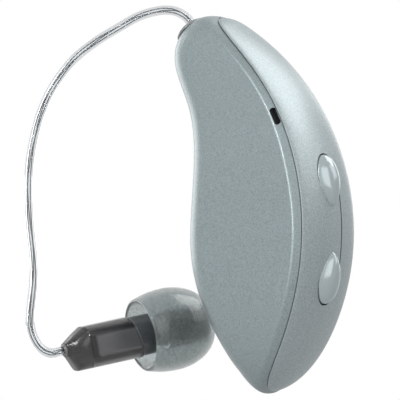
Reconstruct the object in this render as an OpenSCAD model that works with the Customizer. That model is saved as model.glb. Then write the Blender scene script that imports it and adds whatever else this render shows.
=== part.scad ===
// Behind the ear hearing aid with its receiver in the canal.
// Every piece is a solid of its own, drawn at its real size in millimetres.
// The origin lies on the front of the body, where the body rests on the root of the ear.
// X runs from the front of the body to its spine, Y runs towards the head, Z runs up.

/* [Body] */
// Height of the body
body_h = 36; // [34:0.5:44]
// Depth of the body across its belly, front to spine
body_d = 15.6; // [15:0.1:19]
// Greatest thickness of the body
body_t = 8.6; // [8.4:0.1:11]
// Wall of the housing tub
wall = 0.9; // [0.7:0.05:1.2]
// Wall of the spine cover
cover_wall = 0.85; // [0.7:0.05:1.1]
// Depth of the rounding between the front and a side
nose_d = 3.2; // [2.4:0.1:4]
// Width of the bevelled rim at the bottom of the body
rim_low = 0.6; // [0.4:0.02:0.8]
// Width of the bevelled rim at the top of the body
rim_high = 0.86; // [0.6:0.02:1]
// Gap of the seam between the tub and the cover
seam_gap = 0.12; // [0.08:0.01:0.2]
// Width of the gasket that lies in the seam
gasket_w = 0.36; // [0.25:0.01:0.42]

/* [Sound inlets] */
// Length of each microphone slot in the rim
slot_l = 1.8; // [1.2:0.1:2.4]
// Width of each microphone slot
slot_w = 0.5; // [0.3:0.02:0.56]
// Depth of each microphone slot into the wall
slot_deep = 1.1; // [0.8:0.1:1.4]
// Thickness of the mesh in an inlet
mesh_t = 0.1; // [0.06:0.02:0.16]
// Bore of the inlet at the front end of the cover
inlet_bore = 0.7; // [0.5:0.05:0.9]
// Length of a microphone can
mic_l = 2.6; // [2.2:0.1:3]
// Width of a microphone can
mic_w = 1.9; // [1.6:0.1:2.4]
// Height of a microphone can
mic_h = 0.95; // [0.8:0.05:1.1]
// Bore of the sound duct in a microphone gasket
duct_bore = 0.5; // [0.3:0.05:0.7]
// Outer diameter of the front microphone gasket
duct_d = 1.3; // [1:0.1:1.6]
// Length of the front microphone gasket
duct_l = 1.2; // [0.9:0.1:1.5]
// Side of the square duct bar behind the slots
duct_bar = 0.9; // [0.8:0.05:1.1]

/* [Rocker switch] */
// Length of the rocker along the spine
rocker_l = 14.2; // [13:0.1:15]
// Width of the strip between the two bumps
strip_w = 2.4; // [2:0.1:2.8]
// Width of each bump
bump_w = 2.9; // [2.6:0.1:3.4]
// Length of each bump
bump_l = 4.9; // [4:0.1:5.6]
// Height of each bump above the spine
bump_h = 1; // [0.5:0.05:1.1]
// Clearance round the rocker in its window
rocker_gap = 0.12; // [0.08:0.01:0.2]
// Thickness of the rocker cap
rocker_t = 0.95; // [0.8:0.05:1.1]
// Diameter of the rocker's hinge pin
pin_d = 0.8; // [0.6:0.05:1]
// Outer diameter of the eye round the pin
eye_d = 1.44; // [1.3:0.02:1.6]
// Width of the lever under the cap
lever_w = 2; // [1.6:0.1:2.2]
// Thickness of the lever
lever_t = 0.5; // [0.4:0.05:0.6]
// Radial clearance of the lever on its pin
pin_fit = 0.03; // [0.02:0.01:0.05]
// Thickness of each pin lug
lug_t = 0.5; // [0.4:0.05:0.6]
// Side clearance between the lever and the lugs
lug_gap = 0.1; // [0.05:0.01:0.2]
// Side of each push switch's square base
switch_w = 2.6; // [2.2:0.1:3]
// Height of each push switch's base
switch_h = 0.5; // [0.4:0.05:0.6]
// Diameter of each snap dome
snap_d = 2; // [1.6:0.1:2.2]
// Height of each snap dome
snap_h = 0.26; // [0.2:0.01:0.3]
// Thickness of a snap dome's sheet
snap_t = 0.06; // [0.05:0.01:0.08]
// Diameter of each plunger under the lever
plunger_d = 0.9; // [0.7:0.05:1.1]
// Free travel between a plunger and its snap dome
plunger_gap = 0.22; // [0.2:0.01:0.3]
// Thickness of the flexible switch board
flex_t = 0.2; // [0.1:0.02:0.24]

/* [Battery] */
// Distance from the front of the body to the cell
cell_front = 2.92; // [2.8:0.02:3.4]
// Room between the cell and the switch board behind it
cell_room = 0.22; // [0.15:0.01:0.4]
// Height of the rechargeable cell
cell_h = 4.2; // [3.6:0.1:4.3]
// Wall of the cell's can
can_t = 0.2; // [0.15:0.01:0.3]
// Radial width of the insulating ring round the cell's lid
ring_w = 0.3; // [0.2:0.05:0.5]
// Thickness of the foam pads on both sides of the cell
pad_t = 0.4; // [0.3:0.05:0.5]
// Thickness of the two connecting tabs
tab_t = 0.15; // [0.1:0.01:0.2]
// Width of the two connecting tabs
tab_w = 1.6; // [1.2:0.1:2]
// Clearance round the cell in its cradle
cell_gap = 0.1; // [0.05:0.01:0.2]
// Edge of the cell that the charging coil leaves free
coil_edge = 0.3; // [0.2:0.05:0.6]
// Width of the charging coil's winding
coil_w = 2.1; // [1.6:0.1:2.4]
// Thickness of the charging coil
coil_t = 0.5; // [0.3:0.05:0.6]
// Thickness of the ferrite sheet
ferrite_t = 0.25; // [0.15:0.05:0.3]

/* [Chassis and electronics] */
// Thickness of the chassis plates
plate_t = 0.4; // [0.3:0.05:0.5]
// Wall of the cradle round the cell
cradle_t = 0.45; // [0.35:0.05:0.6]
// Clearance between the chassis and the walls
shell_gap = 0.06; // [0.04:0.01:0.15]
// Height of the posts that carry the main board
post_h = 0.3; // [0.2:0.05:0.5]
// Diameter of the posts that carry the main board
post_d = 1; // [0.8:0.1:1.4]
// Thickness of the main board
board_t = 0.35; // [0.25:0.05:0.5]
// Side of the signal processor chip
dsp_w = 4.2; // [3:0.1:4.6]
// Side of the radio chip
radio_w = 3; // [2.4:0.1:3.4]
// Side of the charging chip
power_w = 2.4; // [1.8:0.1:2.8]
// Height of the three chips
chip_h = 0.8; // [0.5:0.05:1]
// Length of each small capacitor
cap_l = 0.8; // [0.6:0.05:1]
// Number of small capacitors in the row
cap_n = 6; // [3:1:7]
// Diameter of the telecoil's core
core_d = 0.7; // [0.5:0.05:0.9]
// Length of the telecoil's core
core_l = 5.4; // [4.4:0.1:6]
// Diameter of the telecoil's winding
winding_d = 1.5; // [1.2:0.05:1.7]
// Length of the telecoil's winding
winding_l = 4.2; // [3.4:0.1:4.6]
// Thickness of the antenna strip
antenna_t = 0.15; // [0.1:0.01:0.2]
// Width of the antenna strip
antenna_w = 1; // [0.8:0.05:1.3]

/* [Socket and plug] */
// Outer diameter of the socket
socket_d = 2.5; // [2.4:0.02:2.7]
// Length of the socket
socket_l = 3.6; // [3.3:0.1:4]
// Diameter of the plug
plug_d = 1.7; // [1.5:0.02:1.8]
// Length of the plug inside the socket
plug_l = 3.1; // [2.8:0.1:3.2]
// Radial clearance between the plug and the socket
plug_fit = 0.05; // [0.03:0.01:0.08]
// Radial clearance between the socket and the tub
socket_fit = 0.02; // [0.01:0.01:0.04]
// Width of each contact ring
contact_w = 0.4; // [0.3:0.02:0.45]
// Depth of each contact ring
contact_t = 0.14; // [0.1:0.01:0.16]
// Diameter of the plug's collar
collar_d = 3.4; // [3.1:0.05:3.6]
// Thickness of the collar at its edge
collar_edge = 0.15; // [0.1:0.01:0.25]
// Height of the collar at its middle
collar_h = 0.55; // [0.4:0.05:0.7]
// Clearance round the collar in its recess
collar_gap = 0.06; // [0.04:0.01:0.1]
// Distance of the lead from the middle of the collar
lead_off = 0.35; // [0:0.05:0.5]

/* [Lead] */
// Outer diameter of the receiver lead
lead_d = 0.9; // [0.8:0.02:1]
// Bore of the receiver lead
lead_bore = 0.5; // [0.44:0.02:0.56]
// Diameter of the twisted wires inside the lead
wires_d = 0.4; // [0.34:0.02:0.42]

/* [Receiver] */
// Height of the receiver's shell
shell_h = 4.1; // [3.8:0.05:4.4]
// Width of the receiver's shell
shell_w = 3.6; // [3.4:0.05:4]
// Radius of the shell's long edges
shell_r = 1.5; // [1.2:0.05:1.6]
// Wall of the receiver's shell
shell_t = 0.35; // [0.25:0.05:0.45]
// Length of the shell between its end cap and its nozzle
shell_l = 5.6; // [5.4:0.1:6.4]
// Length of the bevelled end cap
cap_len = 2.1; // [1.8:0.1:2.6]
// Height of the end cap where the lead enters
cap_h = 1.5; // [1.4:0.1:2]
// Height of the lead above the middle of the receiver
lead_rise = 0.15; // [0:0.05:0.3]
// Diameter of the grommet round the lead
grommet_d = 1.3; // [1.2:0.05:1.35]
// Length of the metal driver can
driver_l = 4.9; // [4:0.1:5]
// Width of the metal driver can
driver_w = 2.7; // [2.2:0.05:2.8]
// Height of the metal driver can
driver_h = 2.1; // [1.6:0.05:2.2]
// Diameter of the driver's sound spout
spout_d = 1; // [0.8:0.05:1.2]
// Length of the driver's sound spout
spout_l = 0.9; // [0.6:0.1:1.2]
// Thickness of the driver's solder board
solder_t = 0.3; // [0.2:0.05:0.4]
// Diameter of the nozzle where it leaves the shell
nozzle_d = 3.9; // [3.7:0.05:4]
// Diameter of the nozzle inside the dome
nozzle_tip_d = 2.9; // [2.6:0.05:3.1]
// Length of the wide part of the nozzle
nozzle_wide_l = 1.6; // [1.2:0.1:2]
// Whole length of the nozzle
nozzle_l = 7.3; // [6.8:0.1:7.8]
// Sound bore of the nozzle
nozzle_bore = 1.1; // [0.9:0.05:1.3]
// Diameter of the wax guard
guard_d = 1.8; // [1.6:0.05:2]
// Length of the wax guard
guard_l = 1.3; // [1:0.1:1.5]
// Wall of the wax guard
guard_t = 0.25; // [0.2:0.05:0.3]
// Radial clearance of the wax guard in the nozzle
guard_fit = 0.04; // [0.02:0.01:0.08]

/* [Dome] */
// Diameter of the silicone dome
dome_d = 8; // [7:0.1:9]
// Length of the silicone dome
dome_l = 7; // [6.4:0.1:7.4]
// Thickness of the dome's skin
dome_t = 0.4; // [0.3:0.02:0.5]
// Length of the dome's core that grips the nozzle
core_grip = 4.8; // [4:0.1:5]
// Radial clearance of the dome's core on the nozzle
dome_fit = 0.03; // [0.02:0.01:0.06]
// Diameter of the sound hole in the dome's tip
dome_hole = 2; // [1.9:0.05:2.4]

/* [Hidden] */

// Smoothness of turned pieces and how far a cut runs past its piece
turn_fn = 48;
small_fn = 32;
cut_over = body_t / 20;

// Height share of the origin, where the body rests on the ear
rest_share = 0.583;
// Each row is a rib of the body: front depth share, front height share, seam depth share,
// seam height share, share of half the thickness at the seam and at the side
rib_shares = [
    [0.104, 0.994, 0.104, 0.994, 0.00, 0.00],
    [0.059, 1.003, 0.127, 0.989, 0.24, 0.30],
    [-0.031, 0.999, 0.171, 0.979, 0.41, 0.51],
    [-0.126, 0.970, 0.252, 0.953, 0.53, 0.66],
    [-0.186, 0.932, 0.341, 0.924, 0.62, 0.74],
    [-0.198, 0.882, 0.464, 0.880, 0.69, 0.80],
    [-0.138, 0.822, 0.598, 0.822, 0.74, 0.845],
    [-0.048, 0.755, 0.722, 0.753, 0.785, 0.89],
    [-0.005, 0.675, 0.825, 0.672, 0.83, 0.94],
    [0.000, 0.583, 0.902, 0.583, 0.87, 1.00],
    [-0.022, 0.483, 0.944, 0.483, 0.895, 1.00],
    [-0.035, 0.383, 0.944, 0.386, 0.902, 1.00],
    [0.008, 0.289, 0.908, 0.294, 0.893, 1.00],
    [0.100, 0.203, 0.844, 0.211, 0.86, 0.98],
    [0.202, 0.130, 0.764, 0.139, 0.81, 0.92],
    [0.296, 0.070, 0.677, 0.082, 0.72, 0.82],
    [0.386, 0.029, 0.597, 0.041, 0.56, 0.65],
    [0.447, 0.004, 0.543, 0.020, 0.34, 0.42],
    [0.486, -0.003, 0.517, 0.011, 0.14, 0.20],
    [0.509, 0.010, 0.509, 0.010, 0.00, 0.00]];
// Bulge of the spine as a share of the seam's half width, and the roundness of its edges
bulge_share = 0.19;
bulge_power = 0.7;
// Roundness of the front edge, where 2 is an ellipse
nose_power = 2.3;
// Ribs along the body and points along half a rib
rib_n = 44;
nose_n = 7;
flat_n = 2;
cover_n = 14;
ease_share = 0.08;
// Shares of the body's length that stay solid at the ends of the tub and of the cover
tub_end_share = 0.15;
cover_end_share = 0.17;
gasket_end_share = 0.035;

// Places of inner pieces, as shares of the body's depth and height
cell_share = 0.303;
dsp_shares = [0.40, 0.655];
radio_shares = [0.30, 0.775];
power_shares = [0.62, 0.56];
caps_shares = [0.50, 0.50];
telecoil_shares = [0.135, 0.66];
plug_shares = [-0.119, 0.96];
front_mic_shares = [0.185, 0.917];
inlet_shares = [0.117, 0.994];
slot_share = 0.733;
// Width of rim between a slot and the seam, as a share of the rim
slot_in_share = 0.24;
// Opening of the front inlet at the end of the cover, and how far its sides run, along the seam
slit_share = 0.014;
slit_reach_share = 0.12;
rocker_mid_share = 0.435;
// Inner half thickness of the body at the cell's bay and at the deck, as shares of the whole
bay_share = 0.955;
deck_share = 0.80;
// Height shares of the deck's lower and upper ends, and of the bay's lower end
deck_low_share = 0.445;
deck_high_share = 0.86;
bay_low_share = 0.18;

// How far the bevelled end cap hangs below the middle of the receiver, as a share of the shell's height
cap_low_share = 0.08;

// Direction in which the plug leaves the body, tilted forwards from straight up
plug_tilt = 43.8;
// Direction in which the receiver points, turned from the front to rear line and raised
receiver_turn = 65.3;
receiver_rise = 11;

half_t = body_t / 2;
inner_half = half_t - wall;
lip_fit = 0.1 * wall;
pin_r = pin_d / 2;
eye_r = eye_d / 2;

// Route of the lead after its start on the collar, chosen by hand
lead_points = [
    [-3.0, -0.2, 15.2], [-3.5, -0.4, 15.5], [-4.1, -0.8, 15.65],
    [-4.8, -1.2, 15.65], [-5.5, -1.6, 15.5], [-6.1, -2.1, 15.3], [-6.8, -2.7, 14.95],
    [-7.4, -3.2, 14.5], [-7.9, -3.7, 14.05], [-8.9, -4.6, 13.3], [-9.8, -5.4, 12.5],
    [-10.5, -6.2, 11.7], [-11.1, -6.8, 11.0], [-11.8, -7.6, 9.7], [-12.4, -8.2, 8.5],
    [-12.8, -8.7, 7.4], [-13.1, -9.1, 6.2], [-13.3, -9.5, 5.1], [-13.6, -10.0, 2.8],
    [-13.7, -10.4, 0.5], [-13.6, -10.6, -1.8], [-13.4, -10.7, -4.1], [-13.1, -10.7, -6.4],
    [-13.0, -10.6, -7.5], [-12.9, -10.6, -8.6], [-12.8, -10.7, -9.8], [-12.8, -10.8, -10.9],
    [-12.8, -11.0, -12.1], [-12.9, -11.1, -13.2], [-13.0, -11.1, -14.4], [-12.9, -10.8, -15.5],
    [-12.8, -10.2, -16.4], [-12.6, -9.5, -17.0], [-12.3, -8.6, -17.25], [-12.1, -7.9, -17.15],
    [-11.9, -7.2, -16.95]];
lead_sides = 8;
lead_rings = 44;

// A place given by a depth share and a height share
function place_x(share) = share * body_d;
function place_z(share) = (share - rest_share) * body_h;
function dot2(a, b) = a[0] * b[0] + a[1] * b[1];
function unit(v) = v / norm(v);

// One point of a smooth curve through four rows, for t from 0 to 1
function blend(a, b, c, d, t) = (pow(1 - t, 3) * a + (3 * pow(t, 3) - 6 * t * t + 4) * b
    + (-3 * pow(t, 3) + 3 * t * t + 3 * t + 1) * c + pow(t, 3) * d) / 6;
// Row k of a list, carried on past both of its ends
function row_at(rows, k) = let(n = len(rows) - 1)
    k < 0 ? 2 * rows[0] - rows[1] : k > n ? 2 * rows[n] - rows[n - 1] : rows[k];
// The smooth curve along a list, for s from 0 to 1
function curve_at(rows, s) = let(
    n = len(rows) - 1,
    x = min(max(s, 0), 1) * n,
    i = min(floor(x), n - 1))
    blend(row_at(rows, i - 1), row_at(rows, i), row_at(rows, i + 1), row_at(rows, i + 2), x - i);

// The rib at s, in millimetres: front x and z, seam x and z, half widths at seam and side
function rib_at(s) = let(r = curve_at(rib_shares, s))
    [place_x(r[0]), place_z(r[1]), place_x(r[2]), place_z(r[3]), r[4] * half_t, r[5] * half_t];
function rim_at(s) = rim_high + (rim_low - rim_high) * s;
// Outward direction of the spine at s, in the X and Z plane
function spine_normal(s) = let(
    step = 1 / (4 * rib_n),
    a = rib_at(max(s - step, 0)),
    b = rib_at(min(s + step, 1)),
    d = unit([b[2] - a[2], b[3] - a[3]]))
    [-d[1], d[0]];
// Height of the spine above the seam sheet, where v runs from -1 to 1 across the body
function bulge(v) = pow(max(1 - v * v, 0), bulge_power);
// A point on the sheet through the seam, moved outwards by off
function sheet_point(s, y, off) = let(r = rib_at(s), n = spine_normal(s))
    [r[2] + n[0] * off, y, r[3] + n[1] * off];

// Spacing of the ribs, closer together near both ends
function ease(u) = u - ease_share * sin(360 * u);
// Spacing of inner ribs, which stop before the ends of the body
function inner_s(s, e) = s < 2 * e ? e + s / 2 : s > 1 - 2 * e ? 1 - e - (1 - s) / 2 : s;
// Half rib of the tub from the front to the seam, as distance along the rib and half width
function half_rib(s, skin) = let(
    r = rib_at(s),
    d = norm([r[2] - r[0], r[3] - r[1]]),
    h = r[5] - skin,
    nose = min(nose_d, 0.62 * d) - skin / 2,
    rim = min(rim_at(s), d / 5),
    p = 2 / nose_power)
    concat(
        [for (k = [0:nose_n]) let(a = 90 * k / nose_n) [skin + nose * (1 - pow(cos(a), p)), h * pow(sin(a), p)]],
        [for (k = [1:flat_n]) [skin + nose + (d - rim - skin - nose) * k / flat_n, h]],
        [[d, skin > 0 ? h : r[4]]]);
// Whole rib of the tub, from the far seam round the front to the near seam
function tub_rib(s, skin) = let(
    r = rib_at(s),
    e = unit([r[2] - r[0], r[3] - r[1]]),
    half = half_rib(s, skin),
    n = len(half) - 1)
    [for (k = [-n:n]) let(q = half[abs(k)])
        [r[0] + e[0] * q[0], -sign(k) * q[1], r[1] + e[1] * q[0]]];
// Ribs of the cover: its outer skin, and its underside with the locating lip
function cover_s(s) = s + slit_share * pow(max(1 - s / slit_reach_share, 0), 2);
function cover_rib(s) = let(half = rib_at(s)[4])
    [for (j = [0:cover_n]) let(v = sin(180 * j / cover_n - 90))
        sheet_point(cover_s(s), half * v, seam_gap + bulge_share * half * bulge(v))];
function under_rib(s) = let(
    r = rib_at(s),
    lip = r[5] - wall - lip_fit)
    concat(
        [sheet_point(s, -lip, seam_gap)],
        [for (j = [0:cover_n - 4]) let(y = lip * (2 * j / (cover_n - 4) - 1))
            sheet_point(s, y, seam_gap + bulge_share * r[4] * bulge(y / r[4]) - cover_wall)],
        [sheet_point(s, lip, seam_gap)]);

// Index of point j in rib i of a skin whose first and last ribs are single points
function skin_at(base, n, m, i, j) = i == 0 ? base : i == n + 1 ? base + n * m + 1 : base + 1 + (i - 1) * m + j;
// Triangles between the columns j and j + 1 of a skin
function skin_faces(base, n, m, turned) = [for (i = [0:n]) for (j = [0:m - 2])
    let(a = skin_at(base, n, m, i, j), b = skin_at(base, n, m, i, j + 1),
        c = skin_at(base, n, m, i + 1, j + 1), d = skin_at(base, n, m, i + 1, j))
    for (f = [[a, b, c], [a, c, d]])
        if (f[0] != f[1] && f[1] != f[2] && f[0] != f[2]) turned ? [f[2], f[1], f[0]] : f];
// Triangles that join column j of one skin to column k of another
function edge_faces(base_a, ma, j, base_b, mb, k, n, turned) = [for (i = [0:n])
    let(a = skin_at(base_a, n, ma, i, j), b = skin_at(base_a, n, ma, i + 1, j),
        c = skin_at(base_b, n, mb, i + 1, k), d = skin_at(base_b, n, mb, i, k))
    for (f = [[a, b, c], [a, c, d]]) turned ? [f[2], f[1], f[0]] : f];
// A shell between two skins that share their rims, each closed by one point at both ends
module shell_between(outer, outer_ends, inner, inner_ends) {
    n = len(outer);
    ma = len(outer[0]);
    mb = len(inner[0]);
    base_b = n * ma + 2;
    points = concat([outer_ends[0]], [for (r = outer) each r], [outer_ends[1]],
        [inner_ends[0]], [for (r = inner) each r], [inner_ends[1]]);
    faces = concat(
        skin_faces(0, n, ma, false),
        skin_faces(base_b, n, mb, true),
        edge_faces(0, ma, 0, base_b, mb, 0, n, false),
        edge_faces(0, ma, ma - 1, base_b, mb, mb - 1, n, true));
    polyhedron(points, faces);
}
// A closed tube whose rings all have the same number of points
module rings(list) {
    n = len(list);
    m = len(list[0]);
    faces = concat(
        [for (i = [0:n - 2]) for (j = [0:m - 1]) let(k = (j + 1) % m)
            each [[i * m + j, (i + 1) * m + j, (i + 1) * m + k], [i * m + j, (i + 1) * m + k, i * m + k]]],
        [for (j = [1:m - 2]) [0, j, j + 1]],
        [for (j = [1:m - 2]) [(n - 1) * m, (n - 1) * m + j + 1, (n - 1) * m + j]]);
    polyhedron([for (r = list) each r], faces);
}
// A ring of four sided sections, closed on itself
module closed_ring(list) {
    n = len(list);
    faces = [for (i = [0:n - 1]) for (j = [0:3]) let(k = (j + 1) % 4, t = (i + 1) % n)
        each [[i * 4 + j, t * 4 + j, t * 4 + k], [i * 4 + j, t * 4 + k, i * 4 + k]]];
    polyhedron([for (r = list) each r], faces);
}

rib_list = [for (i = [1:rib_n]) ease(i / (rib_n + 1))];

// Value of s at which the seam stands at height z
function seam_s(z, low = 0, high = 1, left = 24) = let(mid = (low + high) / 2)
    left == 0 ? mid : rib_at(mid)[3] > z ? seam_s(z, mid, high, left - 1) : seam_s(z, low, mid, left - 1);
// Depth of the cover's outer surface at y and z
function cover_x(y, z) = let(s = seam_s(z), r = rib_at(s), n = spine_normal(s))
    r[2] + (seam_gap + bulge_share * r[4] * bulge(y / r[4])) / n[0];
// Front of the tub at height z, on the middle plane
function front_s(z, low = 0.1, high = 0.95, left = 20) = let(mid = (low + high) / 2)
    left == 0 ? mid : rib_at(mid)[1] > z ? front_s(z, mid, high, left - 1) : front_s(z, low, mid, left - 1);

// The rocker's outline
rocker_z = place_z(rocker_mid_share);
// Half width of a bump at t, from its round outer end to its pointed inner end
function drop(t) = t <= 0 || t >= 1 ? 0 : 2.32 * sqrt(t) * pow(1 - t, 0.75);
// Distance along the bump from its outer end, as a share, at height w from the rocker's middle
function drop_t(w) = (rocker_l / 2 - abs(w)) / bump_l;
// Half width of the rocker at height w from its middle
function rocker_half(w) = let(
    end = rocker_l / 2 - bump_l / 2,
    v = (abs(w) - end) / (bump_l / 2),
    oval = abs(v) < 1 ? bump_w / 2 * sqrt(1 - v * v) : 0)
    abs(w) < end ? max(strip_w / 2, oval) : max(oval, strip_w / 6);
// Height of the bumps above the spine at y and at height w from the middle
function bump_at(y, w) = let(d = drop(drop_t(w)), half = bump_w / 2 * d)
    half <= 0 || abs(y) >= half ? 0 : bump_h * pow(d, 0.8) * (1 - pow(y / half, 2));
rocker_rows = [for (k = [-22:22]) let(x = k / 22) rocker_l / 2 * (1.25 * x - 0.25 * pow(x, 3))];
rocker_cols = 12;
// Places of the two plungers and switches, from the rocker's middle
press_w = rocker_l / 2 - bump_l / 2;
pin_x = cover_x(0, rocker_z) - rocker_t - eye_r - eye_r / 12;

// The rocker's switches stand on one straight board
switch_x = cover_x(0, rocker_z + press_w) - rocker_t - lever_t - plunger_gap - snap_h - switch_h - plunger_d / 4;
board_x = switch_x - flex_t;

// The cell fills the room between the front and the switch board
cell_r = (board_x - cell_room - cell_front) / 2;
cell_x = cell_front + cell_r;
coil_d = 2 * (cell_r - coil_edge);
coil_bore = coil_d - 2 * coil_w;

module housing_tub() {
    color([0.55, 0.59, 0.60]) difference() {
        shell_between(
            [for (s = rib_list) tub_rib(s, 0)],
            [sheet_point(0, 0, 0), sheet_point(1, 0, 0)],
            [for (s = rib_list) tub_rib(inner_s(s, tub_end_share), wall)],
            [sheet_point(tub_end_share, 0, 0), sheet_point(1 - tub_end_share, 0, 0)]);
        at_plug() cylinder(h = collar_d, d = collar_d + 2 * collar_gap, $fn = turn_fn);
        at_plug() translate([0, 0, -socket_l - cut_over])
            cylinder(h = socket_l + 2 * cut_over, d = socket_d + 2 * socket_fit, $fn = turn_fn);
        for (side = [-1, 1]) slot_box(side, slot_l, slot_w, -slot_deep, slot_w);
        front_inlet(inlet_bore, -2 * wall - cut_over, cut_over);
    }
}

// Frame whose Z leaves the body along the plug, with its origin under the collar
module at_plug() {
    translate([place_x(plug_shares[0]), 0, place_z(plug_shares[1])]) rotate([0, -plug_tilt, 0]) children();
}
// A box in the rim beside the seam, from depth low to depth high along Y
slot_s = seam_s(place_z(slot_share));
module slot_box(side, l, w, low, high) {
    r = rib_at(slot_s);
    n = spine_normal(slot_s);
    translate([r[2] - slot_in_share * rim_high - slot_w / 2, side * r[4], r[3]])
        rotate([0, atan2(n[0], n[1]) - 90, 0])
            translate([-w / 2, side > 0 ? low : -high, -l / 2])
                cube([w, high - low, l]);
}
// A bore from the front end of the cover down towards the front microphone
inlet_way = [place_x(front_mic_shares[0] - inlet_shares[0]), place_z(front_mic_shares[1]) - place_z(inlet_shares[1])];
module front_inlet(d, low, high) {
    at_inlet() translate([0, 0, low]) cylinder(h = high - low, d = d, $fn = small_fn);
}
module at_inlet() {
    translate([place_x(inlet_shares[0]), 0, place_z(inlet_shares[1])])
        rotate([0, atan2(-inlet_way[0], -inlet_way[1]), 0]) children();
}

module spine_cover() {
    color([0.62, 0.66, 0.67]) difference() {
        shell_between(
            [for (s = rib_list) cover_rib(s)],
            [sheet_point(slit_share, 0, seam_gap), sheet_point(1, 0, seam_gap)],
            [for (s = rib_list) under_rib(inner_s(s, cover_end_share))],
            [sheet_point(cover_end_share, 0, seam_gap), sheet_point(1 - cover_end_share, 0, seam_gap)]);
        rocker_window();
        front_inlet(inlet_bore, -wall, wall);
    }
}
// Prism that cuts the rocker's window through the cover
module rocker_window() {
    grow = (rocker_l + 2 * rocker_gap) / rocker_l;
    half = [for (w = rocker_rows) [rocker_z + w * grow, rocker_half(w) + rocker_gap]];
    n = len(half);
    low = min(cover_x(0, rocker_z + rocker_l / 2), cover_x(0, rocker_z - rocker_l / 2)) - rocker_t - rocker_gap;
    translate([low, 0, 0]) rotate([90, 0, 90]) linear_extrude(cover_x(0, rocker_z) + cover_wall - low)
        polygon(concat([for (p = half) [-p[1], p[0]]], [for (k = [1:n]) [half[n - k][1], half[n - k][0]]]));
}

// Loop round the seam: near side from top to bottom, far side back up
function seam_loop(inset, end, off) = let(n = rib_n + 1, e = end)
    concat(
        [for (i = [0:n]) let(s = inner_s(ease(i / n), e)) sheet_point(s, -seam_y(s, i, n, inset), off)],
        [for (i = [1:n - 1]) let(k = n - i, s = inner_s(ease(k / n), e)) sheet_point(s, seam_y(s, k, n, inset), off)]);
function seam_y(s, i, n, inset) = i == 0 || i == n ? 0 : max(rib_at(s)[4] - inset, 0.2 * inset);
module cover_gasket() {
    clear = seam_gap / 10;
    a = seam_loop(clear * 2, 0, clear);
    b = seam_loop(clear * 2, 0, seam_gap - clear);
    c = seam_loop(clear * 2 + gasket_w, gasket_end_share, seam_gap - clear);
    d = seam_loop(clear * 2 + gasket_w, gasket_end_share, clear);
    color([0.16, 0.17, 0.18]) closed_ring([for (i = [0:len(a) - 1]) [a[i], d[i], c[i], b[i]]]);
}

module rocker() {
    color([0.66, 0.70, 0.71]) rings([for (w = rocker_rows)
        let(half = rocker_half(w), z = rocker_z + w)
        concat(
            [for (j = [0:rocker_cols]) let(y = half * (2 * j / rocker_cols - 1)) [cover_x(y, z) + bump_at(y, w), y, z]],
            [for (j = [0:rocker_cols]) let(y = half * (1 - 2 * j / rocker_cols)) [cover_x(y, z) - rocker_t, y, z]])]);
}
module rocker_lever() {
    low = rocker_z - press_w - plunger_d;
    high = rocker_z + press_w + plunger_d;
    top = [for (k = [0:12]) let(z = low + (high - low) * k / 12) [cover_x(lever_w / 2, z) - rocker_t - shell_gap, z]];
    tip = switch_x + switch_h + snap_h + plunger_gap;
    color([0.85, 0.85, 0.83]) difference() {
        union() {
            rotate([90, 0, 0]) translate([0, 0, -lever_w / 2]) linear_extrude(lever_w)
                polygon(concat(top, [for (k = [0:12]) top[12 - k] - [lever_t, 0]]));
            translate([pin_x, lever_w / 2, rocker_z]) rotate([90, 0, 0]) cylinder(h = lever_w, r = eye_r, $fn = small_fn);
            for (side = [-1, 1]) translate([tip, 0, rocker_z + side * press_w]) rotate([0, 90, 0])
                cylinder(h = cover_x(lever_w / 2, rocker_z + side * press_w) - rocker_t - shell_gap - lever_t / 2 - tip,
                    d = plunger_d, $fn = small_fn);
        }
        translate([pin_x, lever_w, rocker_z]) rotate([90, 0, 0])
            cylinder(h = 2 * lever_w, r = pin_r + pin_fit, $fn = small_fn);
    }
}
module rocker_pin() {
    l = lever_w + 2 * lug_gap + 2 * lug_t;
    color([0.8, 0.81, 0.83]) translate([pin_x, l / 2, rocker_z]) rotate([90, 0, 0]) cylinder(h = l, r = pin_r, $fn = small_fn);
}
module switch_board() {
    l = 2 * press_w + switch_w + plunger_d;
    neck = lever_w - 2 * lug_gap;
    color([0.75, 0.5, 0.2]) union() {
        translate([board_x, -neck / 2, rocker_z - l / 2]) cube([flex_t, neck, l]);
        for (side = [-1, 1]) translate([board_x, -switch_w / 2, rocker_z + side * press_w - switch_w / 2 - plunger_d / 2])
            cube([flex_t, switch_w, switch_w + plunger_d]);
    }
}
module switch_base(side) {
    color([0.2, 0.2, 0.22]) translate([switch_x, 0, rocker_z + side * press_w]) rotate([0, 90, 0]) difference() {
        translate([-switch_w / 2, -switch_w / 2, 0]) cube([switch_w, switch_w, switch_h]);
        translate([0, 0, switch_h / 2]) cylinder(h = switch_h, d = snap_d - 2 * snap_h, $fn = small_fn);
    }
}
module snap_dome(side) {
    r = snap_d / 2;
    color([0.83, 0.84, 0.86]) translate([switch_x + switch_h, 0, rocker_z + side * press_w]) rotate([0, 90, 0])
        rotate_extrude($fn = small_fn) polygon(concat(
            [for (k = [0:6]) [r * k / 6, snap_h * (1 - pow(k / 6, 2))]],
            [for (k = [0:6]) let(q = 1 - k / 6, i = r - snap_t * 2) [i * q, (snap_h - snap_t) * (1 - q * q)]]));
}
module upper_switch_base() { switch_base(1); }
module lower_switch_base() { switch_base(-1); }
module upper_snap_dome() { snap_dome(1); }
module lower_snap_dome() { snap_dome(-1); }

module slot_mesh(side) {
    color([0.08, 0.08, 0.09]) slot_box(side, slot_l - 2 * mesh_t, slot_w - mesh_t / 2, -slot_w / 2 - mesh_t, -slot_w / 2);
}
module near_slot_mesh() { slot_mesh(-1); }
module far_slot_mesh() { slot_mesh(1); }
module front_inlet_mesh() {
    color([0.08, 0.08, 0.09]) front_inlet(inlet_bore - mesh_t / 2, -wall - mesh_t, -wall);
}

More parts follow.
